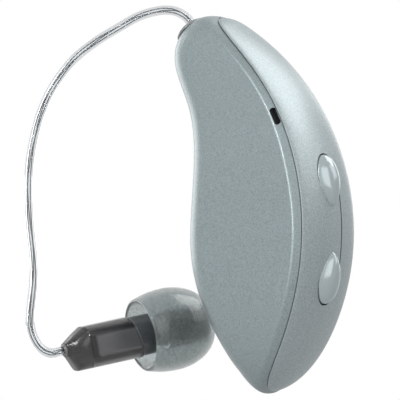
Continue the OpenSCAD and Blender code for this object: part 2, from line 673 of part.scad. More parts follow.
// The front microphone hangs under the inlet on its gasket
front_duct_low = -norm(inlet_way) - duct_l;
module front_mic_gasket() {
    color([0.3, 0.3, 0.32]) at_inlet() translate([0, 0, front_duct_low]) difference() {
        cylinder(h = duct_l, d = duct_d, $fn = small_fn);
        translate([0, 0, -cut_over]) cylinder(h = duct_l + 2 * cut_over, d = duct_bore, $fn = small_fn);
    }
}
module front_microphone() {
    color([0.78, 0.76, 0.6]) at_inlet() translate([-mic_w / 2, -mic_l / 2, front_duct_low - mic_h]) cube([mic_w, mic_l, mic_h]);
}
// The duct bar behind the two slots carries the rear microphone
rear_x = rib_at(slot_s)[2] - cover_wall - duct_bar;
rear_z = rib_at(slot_s)[3];
module rear_mic_duct() {
    l = 2 * (rib_at(slot_s)[5] - wall - 2 * shell_gap);
    color([0.3, 0.3, 0.32]) difference() {
        translate([rear_x - duct_bar / 2, -l / 2, rear_z - duct_bar]) cube([duct_bar, l, 2 * duct_bar]);
        translate([rear_x, l, rear_z]) rotate([90, 0, 0]) cylinder(h = 2 * l, d = duct_bore, $fn = small_fn);
        translate([rear_x - duct_bar, 0, rear_z]) rotate([0, 90, 0]) cylinder(h = duct_bar, d = duct_bore, $fn = small_fn);
    }
}
module rear_microphone() {
    color([0.78, 0.76, 0.6]) translate([rear_x - duct_bar / 2 - mic_h, -mic_w / 2, rear_z - mic_l / 2]) cube([mic_h, mic_w, mic_l]);
}

// Planes across the body, counted from the near wall towards the far wall
bay_y = -(half_t * bay_share - wall - shell_gap);
deck_y = -(half_t * deck_share - wall - shell_gap);
cell_low = bay_y + plate_t + pad_t;
cell_high = cell_low + cell_h;
ferrite_y = cell_high + tab_t + pad_t;
coil_y = ferrite_y + ferrite_t;
board_y = deck_y + plate_t + post_h;
chip_y = board_y + board_t;
cell_z = place_z(cell_share);
// Outline inside the tub between two height shares, kept back from the front and the cover
function inner_outline(low, high, back) = let(n = 16)
    concat(
        [for (k = [0:n]) let(z = place_z(low + (high - low) * k / n), r = rib_at(front_s(z)))
            [r[0] + wall + 0.8 * nose_d + back, z]],
        [for (k = [0:n]) let(z = place_z(high - (high - low) * k / n))
            [cover_x(0, z) - 3 * cover_wall - back, z]]);
module slab(y, t) {
    translate([0, y + t, 0]) rotate([90, 0, 0]) linear_extrude(t) children();
}
module disc(y, t, r) {
    translate([cell_x, y + t, cell_z]) rotate([90, 0, 0]) cylinder(h = t, r = r, $fn = turn_fn);
}
// Room for the duct bar in the boards beside it
module duct_notch() {
    low = rear_x - duct_bar / 2 - shell_gap;
    translate([low, -body_t, rear_z - duct_bar - shell_gap]) cube([body_d, 2 * body_t, 2 * (duct_bar + shell_gap)]);
}
module chassis() {
    cradle_r = cell_r + cell_gap;
    deck_z = place_z(deck_low_share);
    lug_y = lever_w / 2 + lug_gap;
    bar_x = board_x - lug_t;
    color([0.82, 0.83, 0.80]) difference() {
        union() {
            slab(bay_y, plate_t) polygon(inner_outline(bay_low_share, deck_low_share, 0));
            slab(deck_y, plate_t) polygon(inner_outline(deck_low_share, deck_high_share, 0));
            translate([place_x(0.18), bay_y, deck_z - plate_t]) cube([bar_x - place_x(0.18), deck_y + plate_t - bay_y, 2 * plate_t]);
            intersection() {
                disc(bay_y + plate_t, cell_high - bay_y - plate_t, cradle_r + cradle_t);
                translate([cell_x - 2 * cell_r, bay_y, cell_z - 2 * cell_r]) cube([2 * cell_r + cell_r / 2, cell_high - bay_y, 4 * cell_r]);
            }
            translate([bar_x, bay_y, deck_z - plate_t]) cube([lug_t, lug_y + lug_t - bay_y, 2 * plate_t]);
            for (side = [-1, 1]) hull() {
                translate([bar_x, side * (lug_y + lug_t / 2) - lug_t / 2, deck_z - plate_t]) cube([lug_t, lug_t, 2 * plate_t]);
                translate([pin_x, side * (lug_y + lug_t / 2) + lug_t / 2, rocker_z]) rotate([90, 0, 0]) cylinder(h = lug_t, r = eye_r, $fn = 32);
            }
            for (p = post_shares) translate([place_x(p[0]), board_y, place_z(p[1])]) rotate([90, 0, 0])
                cylinder(h = board_y - deck_y, d = post_d, $fn = small_fn);
        }
        disc(bay_y + plate_t, 2 * cell_h, cradle_r);
        duct_notch();
        disc(bay_y - cut_over, plate_t + 2 * cut_over, cell_r * 0.6);
        translate([pin_x, 2 * lever_w, rocker_z]) rotate([90, 0, 0]) cylinder(h = 4 * lever_w, r = pin_r, $fn = small_fn);
    }
}
post_shares = [[0.24, 0.55], [0.66, 0.62], [0.30, 0.80], [0.23, 0.70]];

module battery_can() {
    color([0.80, 0.81, 0.82]) difference() {
        disc(cell_low, cell_h - can_t, cell_r);
        disc(cell_low + can_t, cell_h, cell_r - can_t);
    }
}
module battery_core() {
    color([0.25, 0.25, 0.27]) disc(cell_low + can_t, cell_h - 3 * can_t, cell_r - can_t);
}
module battery_lid() {
    color([0.86, 0.87, 0.88]) disc(cell_high - 2 * can_t, 2 * can_t, cell_r - can_t - ring_w);
}
module battery_ring() {
    color([0.1, 0.1, 0.12]) difference() {
        disc(cell_high - 2 * can_t, can_t, cell_r - can_t);
        disc(cell_high - 3 * can_t, 3 * can_t, cell_r - can_t - ring_w);
    }
}
module near_foam_pad() {
    color([0.25, 0.25, 0.25]) difference() {
        disc(bay_y + plate_t, pad_t, cell_r - cell_gap);
        tab_box(bay_y + plate_t - cut_over, pad_t + 2 * cut_over, tab_w + 2 * cell_gap);
    }
}
module far_foam_pad() {
    color([0.25, 0.25, 0.25]) disc(cell_high + tab_t, pad_t, coil_d / 2 - cell_gap);
}
// Strip from the middle of the cell up to the main board
module tab_box(y, t, w) {
    translate([cell_x - w / 2, y, cell_z]) cube([w, t, place_z(deck_low_share) + 2 * plate_t - cell_z]);
}
module can_tab() {
    color([0.85, 0.8, 0.55]) translate([cell_x - tab_w / 2, cell_low - tab_t, cell_z])
        cube([tab_w, tab_t, cell_r - cell_gap]);
}
module lid_tab() {
    color([0.85, 0.8, 0.55]) translate([cell_x - tab_w / 2, cell_high, cell_z - cell_r / 2])
        cube([tab_w, tab_t, place_z(deck_low_share) + 3 * plate_t - cell_z + cell_r / 2]);
}
module ferrite_sheet() {
    color([0.18, 0.18, 0.2]) disc(ferrite_y, ferrite_t, coil_d / 2 + cell_gap);
}
module charging_coil() {
    color([0.72, 0.42, 0.2]) difference() {
        disc(coil_y, coil_t, coil_d / 2);
        disc(coil_y - cut_over, coil_t + 2 * cut_over, coil_bore / 2);
    }
}

module main_board() {
    color([0.12, 0.35, 0.2]) difference() {
        slab(board_y, board_t) polygon(inner_outline(deck_low_share + 0.04, deck_high_share - 0.01, plate_t / 2));
        duct_notch();
    }
}
module chip(shares, w, h) {
    translate([place_x(shares[0]) - w / 2, chip_y, place_z(shares[1]) - w / 2]) cube([w, h, w]);
}
module dsp_chip() { color([0.12, 0.12, 0.13]) chip(dsp_shares, dsp_w, chip_h); }
module radio_chip() { color([0.15, 0.15, 0.16]) chip(radio_shares, radio_w, chip_h); }
module charging_chip() { color([0.13, 0.13, 0.14]) chip(power_shares, power_w, chip_h); }
module capacitors() {
    color([0.7, 0.6, 0.45]) for (k = [0:cap_n - 1])
        translate([place_x(caps_shares[0]) + (k - cap_n / 2) * cap_l * 1.6, chip_y, place_z(caps_shares[1])])
            cube([cap_l, cap_l / 2, cap_l / 2]);
}
telecoil_y = chip_y + winding_d / 2;
module telecoil_core() {
    color([0.3, 0.3, 0.32]) translate([place_x(telecoil_shares[0]), telecoil_y, place_z(telecoil_shares[1]) - core_l / 2])
        cylinder(h = core_l, d = core_d, $fn = small_fn);
}
module telecoil_winding() {
    color([0.75, 0.45, 0.2]) translate([place_x(telecoil_shares[0]), telecoil_y, place_z(telecoil_shares[1]) - winding_l / 2]) difference() {
        cylinder(h = winding_l, d = winding_d, $fn = small_fn);
        translate([0, 0, -cut_over]) cylinder(h = winding_l + 2 * cut_over, d = core_d, $fn = small_fn);
    }
}
// The antenna lies against the far wall above the charging coil
module antenna_strip() {
    y = -deck_y - antenna_t;
    back = 1.5 * duct_bar;
    color([0.75, 0.5, 0.2]) slab(y, antenna_t) difference() {
        polygon(inner_outline(deck_low_share + 0.06, deck_high_share - 0.02, back));
        polygon(inner_outline(deck_low_share + 0.06 + antenna_w / body_h, deck_high_share - 0.02 - antenna_w / body_h, back + antenna_w));
    }
}

socket_bore = plug_d + 2 * plug_fit;
ring_z = [for (k = [0:2]) -0.6 * contact_w - (k + 0.5) * plug_l / 3.4];
module lead_socket() {
    color([0.2, 0.2, 0.22]) at_plug() difference() {
        translate([0, 0, -socket_l]) cylinder(h = socket_l, d = socket_d, $fn = turn_fn);
        translate([0, 0, -plug_l - plug_fit]) cylinder(h = plug_l + cut_over, d = socket_bore, $fn = turn_fn);
        for (z = ring_z) translate([0, 0, z - contact_w / 2]) cylinder(h = contact_w, d = socket_bore + 2 * contact_t, $fn = turn_fn);
    }
}
module socket_contacts() {
    color([0.85, 0.75, 0.4]) at_plug() for (z = ring_z) translate([0, 0, z - contact_w / 2]) difference() {
        cylinder(h = contact_w, d = socket_bore + 2 * contact_t, $fn = turn_fn);
        translate([0, 0, -cut_over]) cylinder(h = contact_w + 2 * cut_over, d = socket_bore - plug_fit, $fn = turn_fn);
    }
}
module lead_plug() {
    color([0.13, 0.13, 0.14]) at_plug() difference() {
        translate([0, 0, -plug_l]) cylinder(h = plug_l, d = plug_d, $fn = turn_fn);
        for (z = ring_z) translate([0, 0, z - contact_w / 2]) difference() {
            cylinder(h = contact_w, d = 2 * plug_d, $fn = turn_fn);
            translate([0, 0, -cut_over]) cylinder(h = contact_w + 2 * cut_over, d = plug_d - 2 * contact_t, $fn = turn_fn);
        }
    }
}
module plug_contacts() {
    color([0.9, 0.78, 0.4]) at_plug() for (z = ring_z) translate([0, 0, z - contact_w / 2]) difference() {
        cylinder(h = contact_w, d = plug_d, $fn = turn_fn);
        translate([0, 0, -cut_over]) cylinder(h = contact_w + 2 * cut_over, d = plug_d - 2 * contact_t, $fn = turn_fn);
    }
}
module plug_collar() {
    r = collar_d / 2;
    color([0.35, 0.36, 0.38]) at_plug() union() {
        rotate_extrude($fn = turn_fn) polygon(concat([[0, 0], [r, 0]],
            [for (k = [0:8]) let(a = 90 * k / 8) [r * cos(a), collar_edge + (collar_h - collar_edge) * sin(a)]]));
        translate([lead_off, 0, 0]) cylinder(h = collar_h + collar_edge, d = lead_d + 2 * collar_edge, $fn = small_fn);
    }
}

// Start of the lead on the collar, and its route from there
collar_rise = collar_h + collar_edge;
plug_way = [-sin(plug_tilt), 0, cos(plug_tilt)];
lead_start = [place_x(plug_shares[0]) + lead_off * cos(plug_tilt), 0, place_z(plug_shares[1]) + lead_off * sin(plug_tilt)]
    + collar_rise * plug_way;
receiver_way = [cos(receiver_rise) * cos(receiver_turn), cos(receiver_rise) * sin(receiver_turn), sin(receiver_rise)];
lead_end = lead_points[len(lead_points) - 1];
lead_route = concat([lead_start, lead_start + lead_d * plug_way],
    [for (k = [0:len(lead_points) - 3]) lead_points[k]],
    [lead_end - lead_d * receiver_way, lead_end]);
function route_at(s) = curve_at(lead_route, s);
function route_way(s) = unit(route_at(min(s + 0.002, 1)) - route_at(max(s - 0.002, 0)));
function lead_ring(s, r) = let(
    t = route_way(s),
    a = unit(cross(t, [0, 1, 0])),
    b = cross(t, a),
    p = route_at(s))
    [for (k = [0:lead_sides - 1]) p + r * (cos(360 * k / lead_sides) * a + sin(360 * k / lead_sides) * b)];
module lead_tube() {
    m = lead_sides;
    n = lead_rings;
    base = (n + 1) * m;
    out = [for (i = [0:n]) each lead_ring(i / n, lead_d / 2)];
    bore = [for (i = [0:n]) each lead_ring(i / n, lead_bore / 2)];
    faces = concat(
        [for (i = [0:n - 1]) for (j = [0:m - 1]) let(k = (j + 1) % m)
            each [[i * m + j, (i + 1) * m + j, (i + 1) * m + k], [i * m + j, (i + 1) * m + k, i * m + k]]],
        [for (i = [0:n - 1]) for (j = [0:m - 1]) let(k = (j + 1) % m, q = base)
            each [[q + i * m + j, q + (i + 1) * m + k, q + (i + 1) * m + j], [q + i * m + j, q + i * m + k, q + (i + 1) * m + k]]],
        [for (j = [0:m - 1]) let(k = (j + 1) % m) each [[j, k, base + k], [j, base + k, base + j]]],
        [for (j = [0:m - 1]) let(k = (j + 1) % m, q = n * m)
            each [[q + j, base + q + k, q + k], [q + j, base + q + j, base + q + k]]]);
    color([0.78, 0.8, 0.82]) polyhedron(concat(out, bore), faces);
}
module lead_wires() {
    color([0.4, 0.4, 0.42]) rings([for (i = [0:lead_rings]) lead_ring(i / lead_rings, wires_d / 2)]);
}

// Frame of the receiver: X runs along its middle from the lead to the tip of the dome
module at_receiver() {
    translate(lead_end) rotate([0, -receiver_rise, receiver_turn]) translate([0, 0, -lead_rise]) children();
}
nozzle_x = cap_len + shell_l;
dome_x = nozzle_x + nozzle_l + guard_t - dome_l;
// A box with round long edges, along X
module round_bar(x, l, w, h, r) {
    translate([x, 0, 0]) rotate([90, 0, 90]) linear_extrude(l) {
        square([w - 2 * r, h], center = true);
        square([w, h - 2 * r], center = true);
        for (a = [-1, 1]) for (b = [-1, 1]) translate([a * (w / 2 - r), b * (h / 2 - r)]) circle(r, $fn = small_fn);
    }
}
module rod(x, l, d) {
    translate([x, 0, 0]) rotate([0, 90, 0]) cylinder(h = l, d = d, $fn = small_fn);
}
module lead_grommet() {
    color([0.3, 0.3, 0.3]) at_receiver() translate([0, 0, lead_rise]) rod(0, cap_len - solder_t, grommet_d);
}
module receiver_end_cap() {
    slice = shell_t / 10;
    color([0.12, 0.12, 0.13]) at_receiver() difference() {
        hull() {
            translate([0, 0, lead_rise]) round_bar(0, slice, cap_h, cap_h * 0.9, cap_h / 4);
            translate([0, 0, -shell_h * cap_low_share])
                round_bar(cap_len * 0.4, slice, shell_w * 0.8, shell_h * (0.98 - 2 * cap_low_share), shell_r * 0.8);
            translate([0, 0, -shell_h * cap_low_share / 2])
                round_bar(cap_len * 0.7, slice, shell_w * 0.96, shell_h * (1 - cap_low_share), shell_r * 0.96);
            round_bar(cap_len - slice, slice, shell_w, shell_h, shell_r);
        }
        translate([0, 0, lead_rise]) rod(-cut_over, cap_len + 2 * cut_over, grommet_d);
    }
}
module receiver_shell() {
    color([0.2, 0.2, 0.21]) at_receiver() difference() {
        round_bar(cap_len, shell_l, shell_w, shell_h, shell_r);
        round_bar(cap_len - cut_over, shell_l + 2 * cut_over, shell_w - 2 * shell_t, shell_h - 2 * shell_t, shell_r - shell_t);
    }
}
driver_x = cap_len + solder_t + shell_t;
module receiver_driver() {
    color([0.7, 0.71, 0.72]) at_receiver() {
        round_bar(driver_x, driver_l, driver_w, driver_h, driver_h / 8);
        rod(driver_x + driver_l, spout_l, spout_d);
    }
}
module driver_solder_board() {
    color([0.15, 0.35, 0.2]) at_receiver() translate([driver_x - solder_t, -driver_w / 2, -driver_h / 2])
        cube([solder_t, driver_w, driver_h]);
}
module solder_joints() {
    r = solder_t;
    color([0.85, 0.86, 0.87]) at_receiver() for (k = [-1:1])
        translate([driver_x - solder_t, k * driver_w / 3, -driver_h / 4]) rotate([0, -90, 0]) cylinder(h = solder_t, r1 = r, r2 = r / 2, $fn = small_fn);
}
module receiver_nozzle() {
    inner = nozzle_x + spout_l;
    color([0.1, 0.1, 0.11]) at_receiver() difference() {
        union() {
            rod(nozzle_x, nozzle_wide_l, nozzle_d);
            rod(nozzle_x + nozzle_wide_l, nozzle_l - nozzle_wide_l, nozzle_tip_d);
        }
        rod(nozzle_x - cut_over, nozzle_l + 2 * cut_over, nozzle_bore);
        rod(nozzle_x - cut_over, driver_x + driver_l + spout_l - nozzle_x + 2 * cut_over, spout_d + 2 * shell_gap);
        rod(nozzle_x + nozzle_l - guard_l + guard_t, guard_l, guard_d + 2 * guard_fit);
    }
}
guard_x = nozzle_x + nozzle_l - guard_l + guard_t;
module wax_guard() {
    color([0.9, 0.9, 0.9]) at_receiver() difference() {
        rod(guard_x, guard_l, guard_d);
        rod(guard_x - cut_over, guard_l + 2 * cut_over, guard_d - 2 * guard_t);
    }
}
module wax_mesh() {
    color([0.6, 0.6, 0.6]) at_receiver() rod(guard_x + guard_l / 2, mesh_t, guard_d - 2 * guard_t);
}

// Outer profile of the dome at t from its open rim to its tip: distance along it and radius
function dome_point(t, inset) = let(
    a = 118 * t,
    r = dome_d / 2 - inset,
    hole = dome_hole / 2 + dome_t)
    t < 0.3 ? [dome_l * 0.42 * t / 0.3, r - (dome_d / 2) * 0.12 * pow(1 - t / 0.3, 2)]
        : let(q = (t - 0.3) / 0.7 * 90) [dome_l * 0.42 + (dome_l * 0.58 - inset) * sin(q), hole + (r - hole) * cos(q)];
module dome() {
    n = 14;
    core_r = nozzle_tip_d / 2 + dome_fit;
    core_wall = core_r + dome_t;
    bottom = dome_l - core_grip;
    flange = guard_t - mesh_t;
    color([0.45, 0.47, 0.48]) at_receiver() translate([dome_x, 0, 0]) rotate([0, 90, 0]) rotate_extrude($fn = turn_fn) polygon(concat(
        [for (k = [0:n]) let(p = dome_point(k / n, 0)) [p[1], p[0]]],
        [[dome_hole / 2, dome_l], [dome_hole / 2, dome_l - flange], [core_r, dome_l - flange], [core_r, bottom], [core_wall, bottom]],
        [for (k = [0:n]) let(p = dome_point(1 - k / n, dome_t)) if (p[1] > core_wall) [p[1], p[0]]]));
}

housing_tub();
spine_cover();
cover_gasket();
rocker();
rocker_lever();
rocker_pin();
switch_board();
upper_switch_base();
lower_switch_base();
upper_snap_dome();
lower_snap_dome();
near_slot_mesh();
far_slot_mesh();
front_inlet_mesh();
front_microphone();
rear_microphone();
front_mic_gasket();
rear_mic_duct();
chassis();
battery_can();
battery_core();
battery_lid();
battery_ring();
near_foam_pad();
far_foam_pad();
lid_tab();
can_tab();
ferrite_sheet();
charging_coil();
main_board();
dsp_chip();
radio_chip();
charging_chip();
capacitors();
telecoil_core();
telecoil_winding();
antenna_strip();
lead_socket();
socket_contacts();
lead_plug();
plug_contacts();
plug_collar();
lead_tube();
lead_wires();
lead_grommet();
receiver_end_cap();
receiver_shell();
receiver_driver();
driver_solder_board();
solder_joints();
receiver_nozzle();
wax_guard();
wax_mesh();
dome();
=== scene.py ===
"""Behind the ear hearing aid: the visible pieces, their finishes and the stage, laid out as an add-on."""
import math

import bpy
import numpy as np
from bpy.props import FloatProperty, FloatVectorProperty, PointerProperty
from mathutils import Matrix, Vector


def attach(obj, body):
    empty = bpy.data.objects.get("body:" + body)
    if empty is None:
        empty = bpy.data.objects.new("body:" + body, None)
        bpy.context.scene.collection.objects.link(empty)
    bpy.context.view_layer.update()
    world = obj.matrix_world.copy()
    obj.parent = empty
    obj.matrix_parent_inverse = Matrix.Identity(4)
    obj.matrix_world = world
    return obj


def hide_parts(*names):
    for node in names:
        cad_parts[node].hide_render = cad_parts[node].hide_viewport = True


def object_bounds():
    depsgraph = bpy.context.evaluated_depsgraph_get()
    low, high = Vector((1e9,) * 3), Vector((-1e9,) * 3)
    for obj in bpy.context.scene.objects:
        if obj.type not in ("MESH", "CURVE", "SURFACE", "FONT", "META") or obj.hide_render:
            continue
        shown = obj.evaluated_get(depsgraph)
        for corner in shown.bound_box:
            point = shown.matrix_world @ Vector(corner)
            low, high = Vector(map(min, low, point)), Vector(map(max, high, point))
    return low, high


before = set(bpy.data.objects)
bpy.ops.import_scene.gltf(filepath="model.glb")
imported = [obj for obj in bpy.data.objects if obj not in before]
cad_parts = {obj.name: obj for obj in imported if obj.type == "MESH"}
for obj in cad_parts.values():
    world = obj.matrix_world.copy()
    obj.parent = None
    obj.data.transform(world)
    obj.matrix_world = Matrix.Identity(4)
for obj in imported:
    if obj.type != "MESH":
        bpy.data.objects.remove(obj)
cad_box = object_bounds()

bl_info = {
    "name": "Behind the ear hearing aid",
    "version": (1, 0, 0),
    "blender": (4, 5, 0),
    "location": "3D View > Sidebar > Hearing aid",
    "description": "Builds the visible pieces, the finishes and the stage of a behind the ear hearing aid",
    "category": "Object",
}

# Each row is a rib of the body, as in the part's source: front depth share, front height share,
# seam depth share, seam height share, share of half the thickness at the seam and at the side
RIB_SHARES = np.array([
    [0.104, 0.994, 0.104, 0.994, 0.00, 0.00],
    [0.059, 1.003, 0.127, 0.989, 0.24, 0.30],
    [-0.031, 0.999, 0.171, 0.979, 0.41, 0.51],
    [-0.126, 0.970, 0.252, 0.953, 0.53, 0.66],
    [-0.186, 0.932, 0.341, 0.924, 0.62, 0.74],
    [-0.198, 0.882, 0.464, 0.880, 0.69, 0.80],
    [-0.138, 0.822, 0.598, 0.822, 0.74, 0.845],
    [-0.048, 0.755, 0.722, 0.753, 0.785, 0.89],
    [-0.005, 0.675, 0.825, 0.672, 0.83, 0.94],
    [0.000, 0.583, 0.902, 0.583, 0.87, 1.00],
    [-0.022, 0.483, 0.944, 0.483, 0.895, 1.00],
    [-0.035, 0.383, 0.944, 0.386, 0.902, 1.00],
    [0.008, 0.289, 0.908, 0.294, 0.893, 1.00],
    [0.100, 0.203, 0.844, 0.211, 0.86, 0.98],
    [0.202, 0.130, 0.764, 0.139, 0.81, 0.92],
    [0.296, 0.070, 0.677, 0.082, 0.72, 0.82],
    [0.386, 0.029, 0.597, 0.041, 0.56, 0.65],
    [0.447, 0.004, 0.543, 0.020, 0.34, 0.42],
    [0.486, -0.003, 0.517, 0.011, 0.14, 0.20],
    [0.509, 0.010, 0.509, 0.010, 0.00, 0.00],
])
REST_SHARE = 0.583
BULGE_SHARE = 0.19
BULGE_POWER = 0.7
NOSE_POWER = 2.3
# Depth and height shares of the plug's mouth and of the inlet, and the height shares of slot and rocker
PLUG_SHARES = (-0.119, 0.96)
INLET_SHARES = (0.117, 0.994)
FRONT_MIC_SHARES = (0.185, 0.917)
SLOT_SHARE = 0.733
ROCKER_SHARE = 0.435
# Width of rim between a slot and the seam, and the front inlet's opening and reach along the seam, as
# shares
SLOT_IN_SHARE = 0.1
SLIT_SHARE = 0.014
SLIT_REACH_SHARE = 0.12

# Route of the lead after its start on the collar, in metres, with the same points as the part's source
LEAD_POINTS = np.array([
    [-3.0, -0.2, 15.2], [-3.5, -0.4, 15.5], [-4.1, -0.8, 15.65],
    [-4.8, -1.2, 15.65], [-5.5, -1.6, 15.5], [-6.1, -2.1, 15.3], [-6.8, -2.7, 14.95],
    [-7.4, -3.2, 14.5], [-7.9, -3.7, 14.05], [-8.9, -4.6, 13.3], [-9.8, -5.4, 12.5],
    [-10.5, -6.2, 11.7], [-11.1, -6.8, 11.0], [-11.8, -7.6, 9.7], [-12.4, -8.2, 8.5],
    [-12.8, -8.7, 7.4], [-13.1, -9.1, 6.2], [-13.3, -9.5, 5.1], [-13.6, -10.0, 2.8],
    [-13.7, -10.4, 0.5], [-13.6, -10.6, -1.8], [-13.4, -10.7, -4.1], [-13.1, -10.7, -6.4],
    [-13.0, -10.6, -7.5], [-12.9, -10.6, -8.6], [-12.8, -10.7, -9.8], [-12.8, -10.8, -10.9],
    [-12.8, -11.0, -12.1], [-12.9, -11.1, -13.2], [-13.0, -11.1, -14.4], [-12.9, -10.8, -15.5],
    [-12.8, -10.2, -16.4], [-12.6, -9.5, -17.0], [-12.3, -8.6, -17.25], [-12.1, -7.9, -17.15],
    [-11.9, -7.2, -16.95]]) * 0.001

# Roughness, metal and coat of the paint on cover and rocker, and the roughness of the polished bumps
COVER_PAINT = (0.38, 0.4, 0.05)
POLISH = 0.16
# Width in metres of one band of a wave texture at scale 1
BAND = 0.314
# A length that keeps a division from reaching zero
TINY = 1e-9

# How much of a rib its front rounding and its rim can take, and how much of the rim its ridge and its lip
NOSE_MOST_SHARE = 0.62
RIM_MOST_SHARE = 0.2
RIDGE_MOST_SHARE = 0.3
LIP_MOST_SHARE = 0.2
# Width of the lip, the power that closes up a side's points towards the ridge, and the hollow's least width
LIP = 0.00005
FLAT_POWER = 2.6
INNER_LEAST_SHARE = 0.3
# Start and end of the two hollows along the seam, how soon they are deep, and their least depth
TUB_HOLLOW_SHARES = (0.05, 0.97, 0.11, 0.015)
COVER_HOLLOW_SHARES = (0.06, 0.96, 0.1, 0.01)
# The cover's land: how many walls it stands in from the side, its least reach, and the underside's part
LAND_SHARES = (1.1, 0.25, 0.985)
# How far the gasket's inner lines stop short of the seam's ends, and a slot's corner for its width
GASKET_END_SHARE = 0.035
SLOT_ROUND_SHARE = 0.45

# How far each cut goes in and stands out, the plug's bore, and the depths of the rocker's window
SLOT_IN = 0.0009
SLOT_OUT = 0.0006
RECESS_OUT = 0.003
PLUG_IN = 0.0037
PLUG_OUT = 0.0002
PLUG_RADIUS = 0.00127
TUB_INLET_IN = 0.0019
TUB_INLET_OUT = 0.0004
COVER_INLET = 0.0009
WINDOW_NEAR = 0.0115
WINDOW_FAR = 0.0175

# Drop and width of the rocker's soft edge, and the share of a bump's height where it is fully polished
EDGE_DROP = 0.00007
EDGE_WIDTH = 0.00012
POLISHED_SHARE = 0.2

# The wires' reach along the lead, and their play in its bore
WIRE_SHARES = (0.002, 0.998)
WIRE_PLAY = 0.00001
# Bevel of the receiver's edges, half the driver's height for the shell's, and the patch of light painted
# before it
BEVEL = 0.00006
DRIVER_HALF_SHARE = 0.26
DRIVER_LIGHT_LENGTH = 0.0049
DRIVER_LIGHT_EDGE = 0.00012
# Sections of the end cap: distance, width, height, corner and drop, as shares of those at the shell
CAP_DROP_SHARE = 0.08
CAP_SHARES = ((0.39, 0.79, 0.81, 0.78, 1.0), (0.43, 0.82, 0.84, 0.81, 1.0), (0.70, 0.96, 0.92, 0.96, 0.5))
# The same at its tip, as a distance and as shares of the tip's height
CAP_TIP_SHARES = ((0.0, 0.96, 0.86, 0.24), (BEVEL, 1.0, 0.9, 0.25))
# Points round the nozzle, and the rows of faces that its slim grey part takes
NOZZLE_SIDES = 80
NOZZLE_GREY_ROWS = (7, 12)
# The flare's part of the dome's line and its share of the dome's length, and how far the rim draws in
FLARE_PART = 0.3
FLARE_SHARE = 0.42
RIM_IN_SHARE = 0.12

# The camera's turn round the object, its lens and sensor, and how many pixels of the picture a metre takes
VIEW_TURN = math.radians(40)
LENS = 1.2
SENSOR = 0.036
PICTURE = 400
PIXELS_PER_METRE = 10500.0
# The picture's column at the origin and its row at the body's lowest point, that point's height, and how
# far in front of the origin the camera aims
ORIGIN_COLUMN = 208.43
FOOT_ROW = 393.8
FOOT_HEIGHT = -0.021
AIM_DEPTH = 0.005

# Where the lamps aim, and each lamp's name, turn and rise in degrees, distance, width, height and power
LAMP_AIM = (0.001, -0.001, -0.003)
LAMPS = (
    ("key", 154, 56, 0.30, 0.22, 0.20, 0.56),
    ("side", 122, 33, 0.30, 0.24, 0.18, 0.24),
    ("rim", 188, 14, 0.32, 0.06, 0.16, 0.08),
    ("ridge", -2, 14, 0.32, 0.025, 0.24, 0.66),
    ("front", 52, 17, 0.34, 0.16, 0.34, 0.33),
    ("left", -90, 4, 0.30, 0.22, 0.30, 0.52),
    ("crest", -4, 34, 0.31, 0.02, 0.17, 0.17),
)
ROOM_LIGHT = 0.3
FLOOR_HALF = 0.16
FLOOR_GAP = 0.0004

BODY = "hearing_aid_body"
LEAD = "lead_body"


def length(name, text, default):
    """A size in metres that a user can change."""
    return FloatProperty(name=name, description=text, default=default, min=0.0, unit="LENGTH", precision=5)


def colour(name, text, default):
    """A colour that a user can change."""
    return FloatVectorProperty(name=name, description=text, default=default, min=0.0, max=1.0, size=3,
                               subtype="COLOR")


def angle(name, text, degrees):
    """An angle that a user can change, with its default in degrees."""
    return FloatProperty(name=name, description=text, default=math.radians(degrees), subtype="ANGLE")


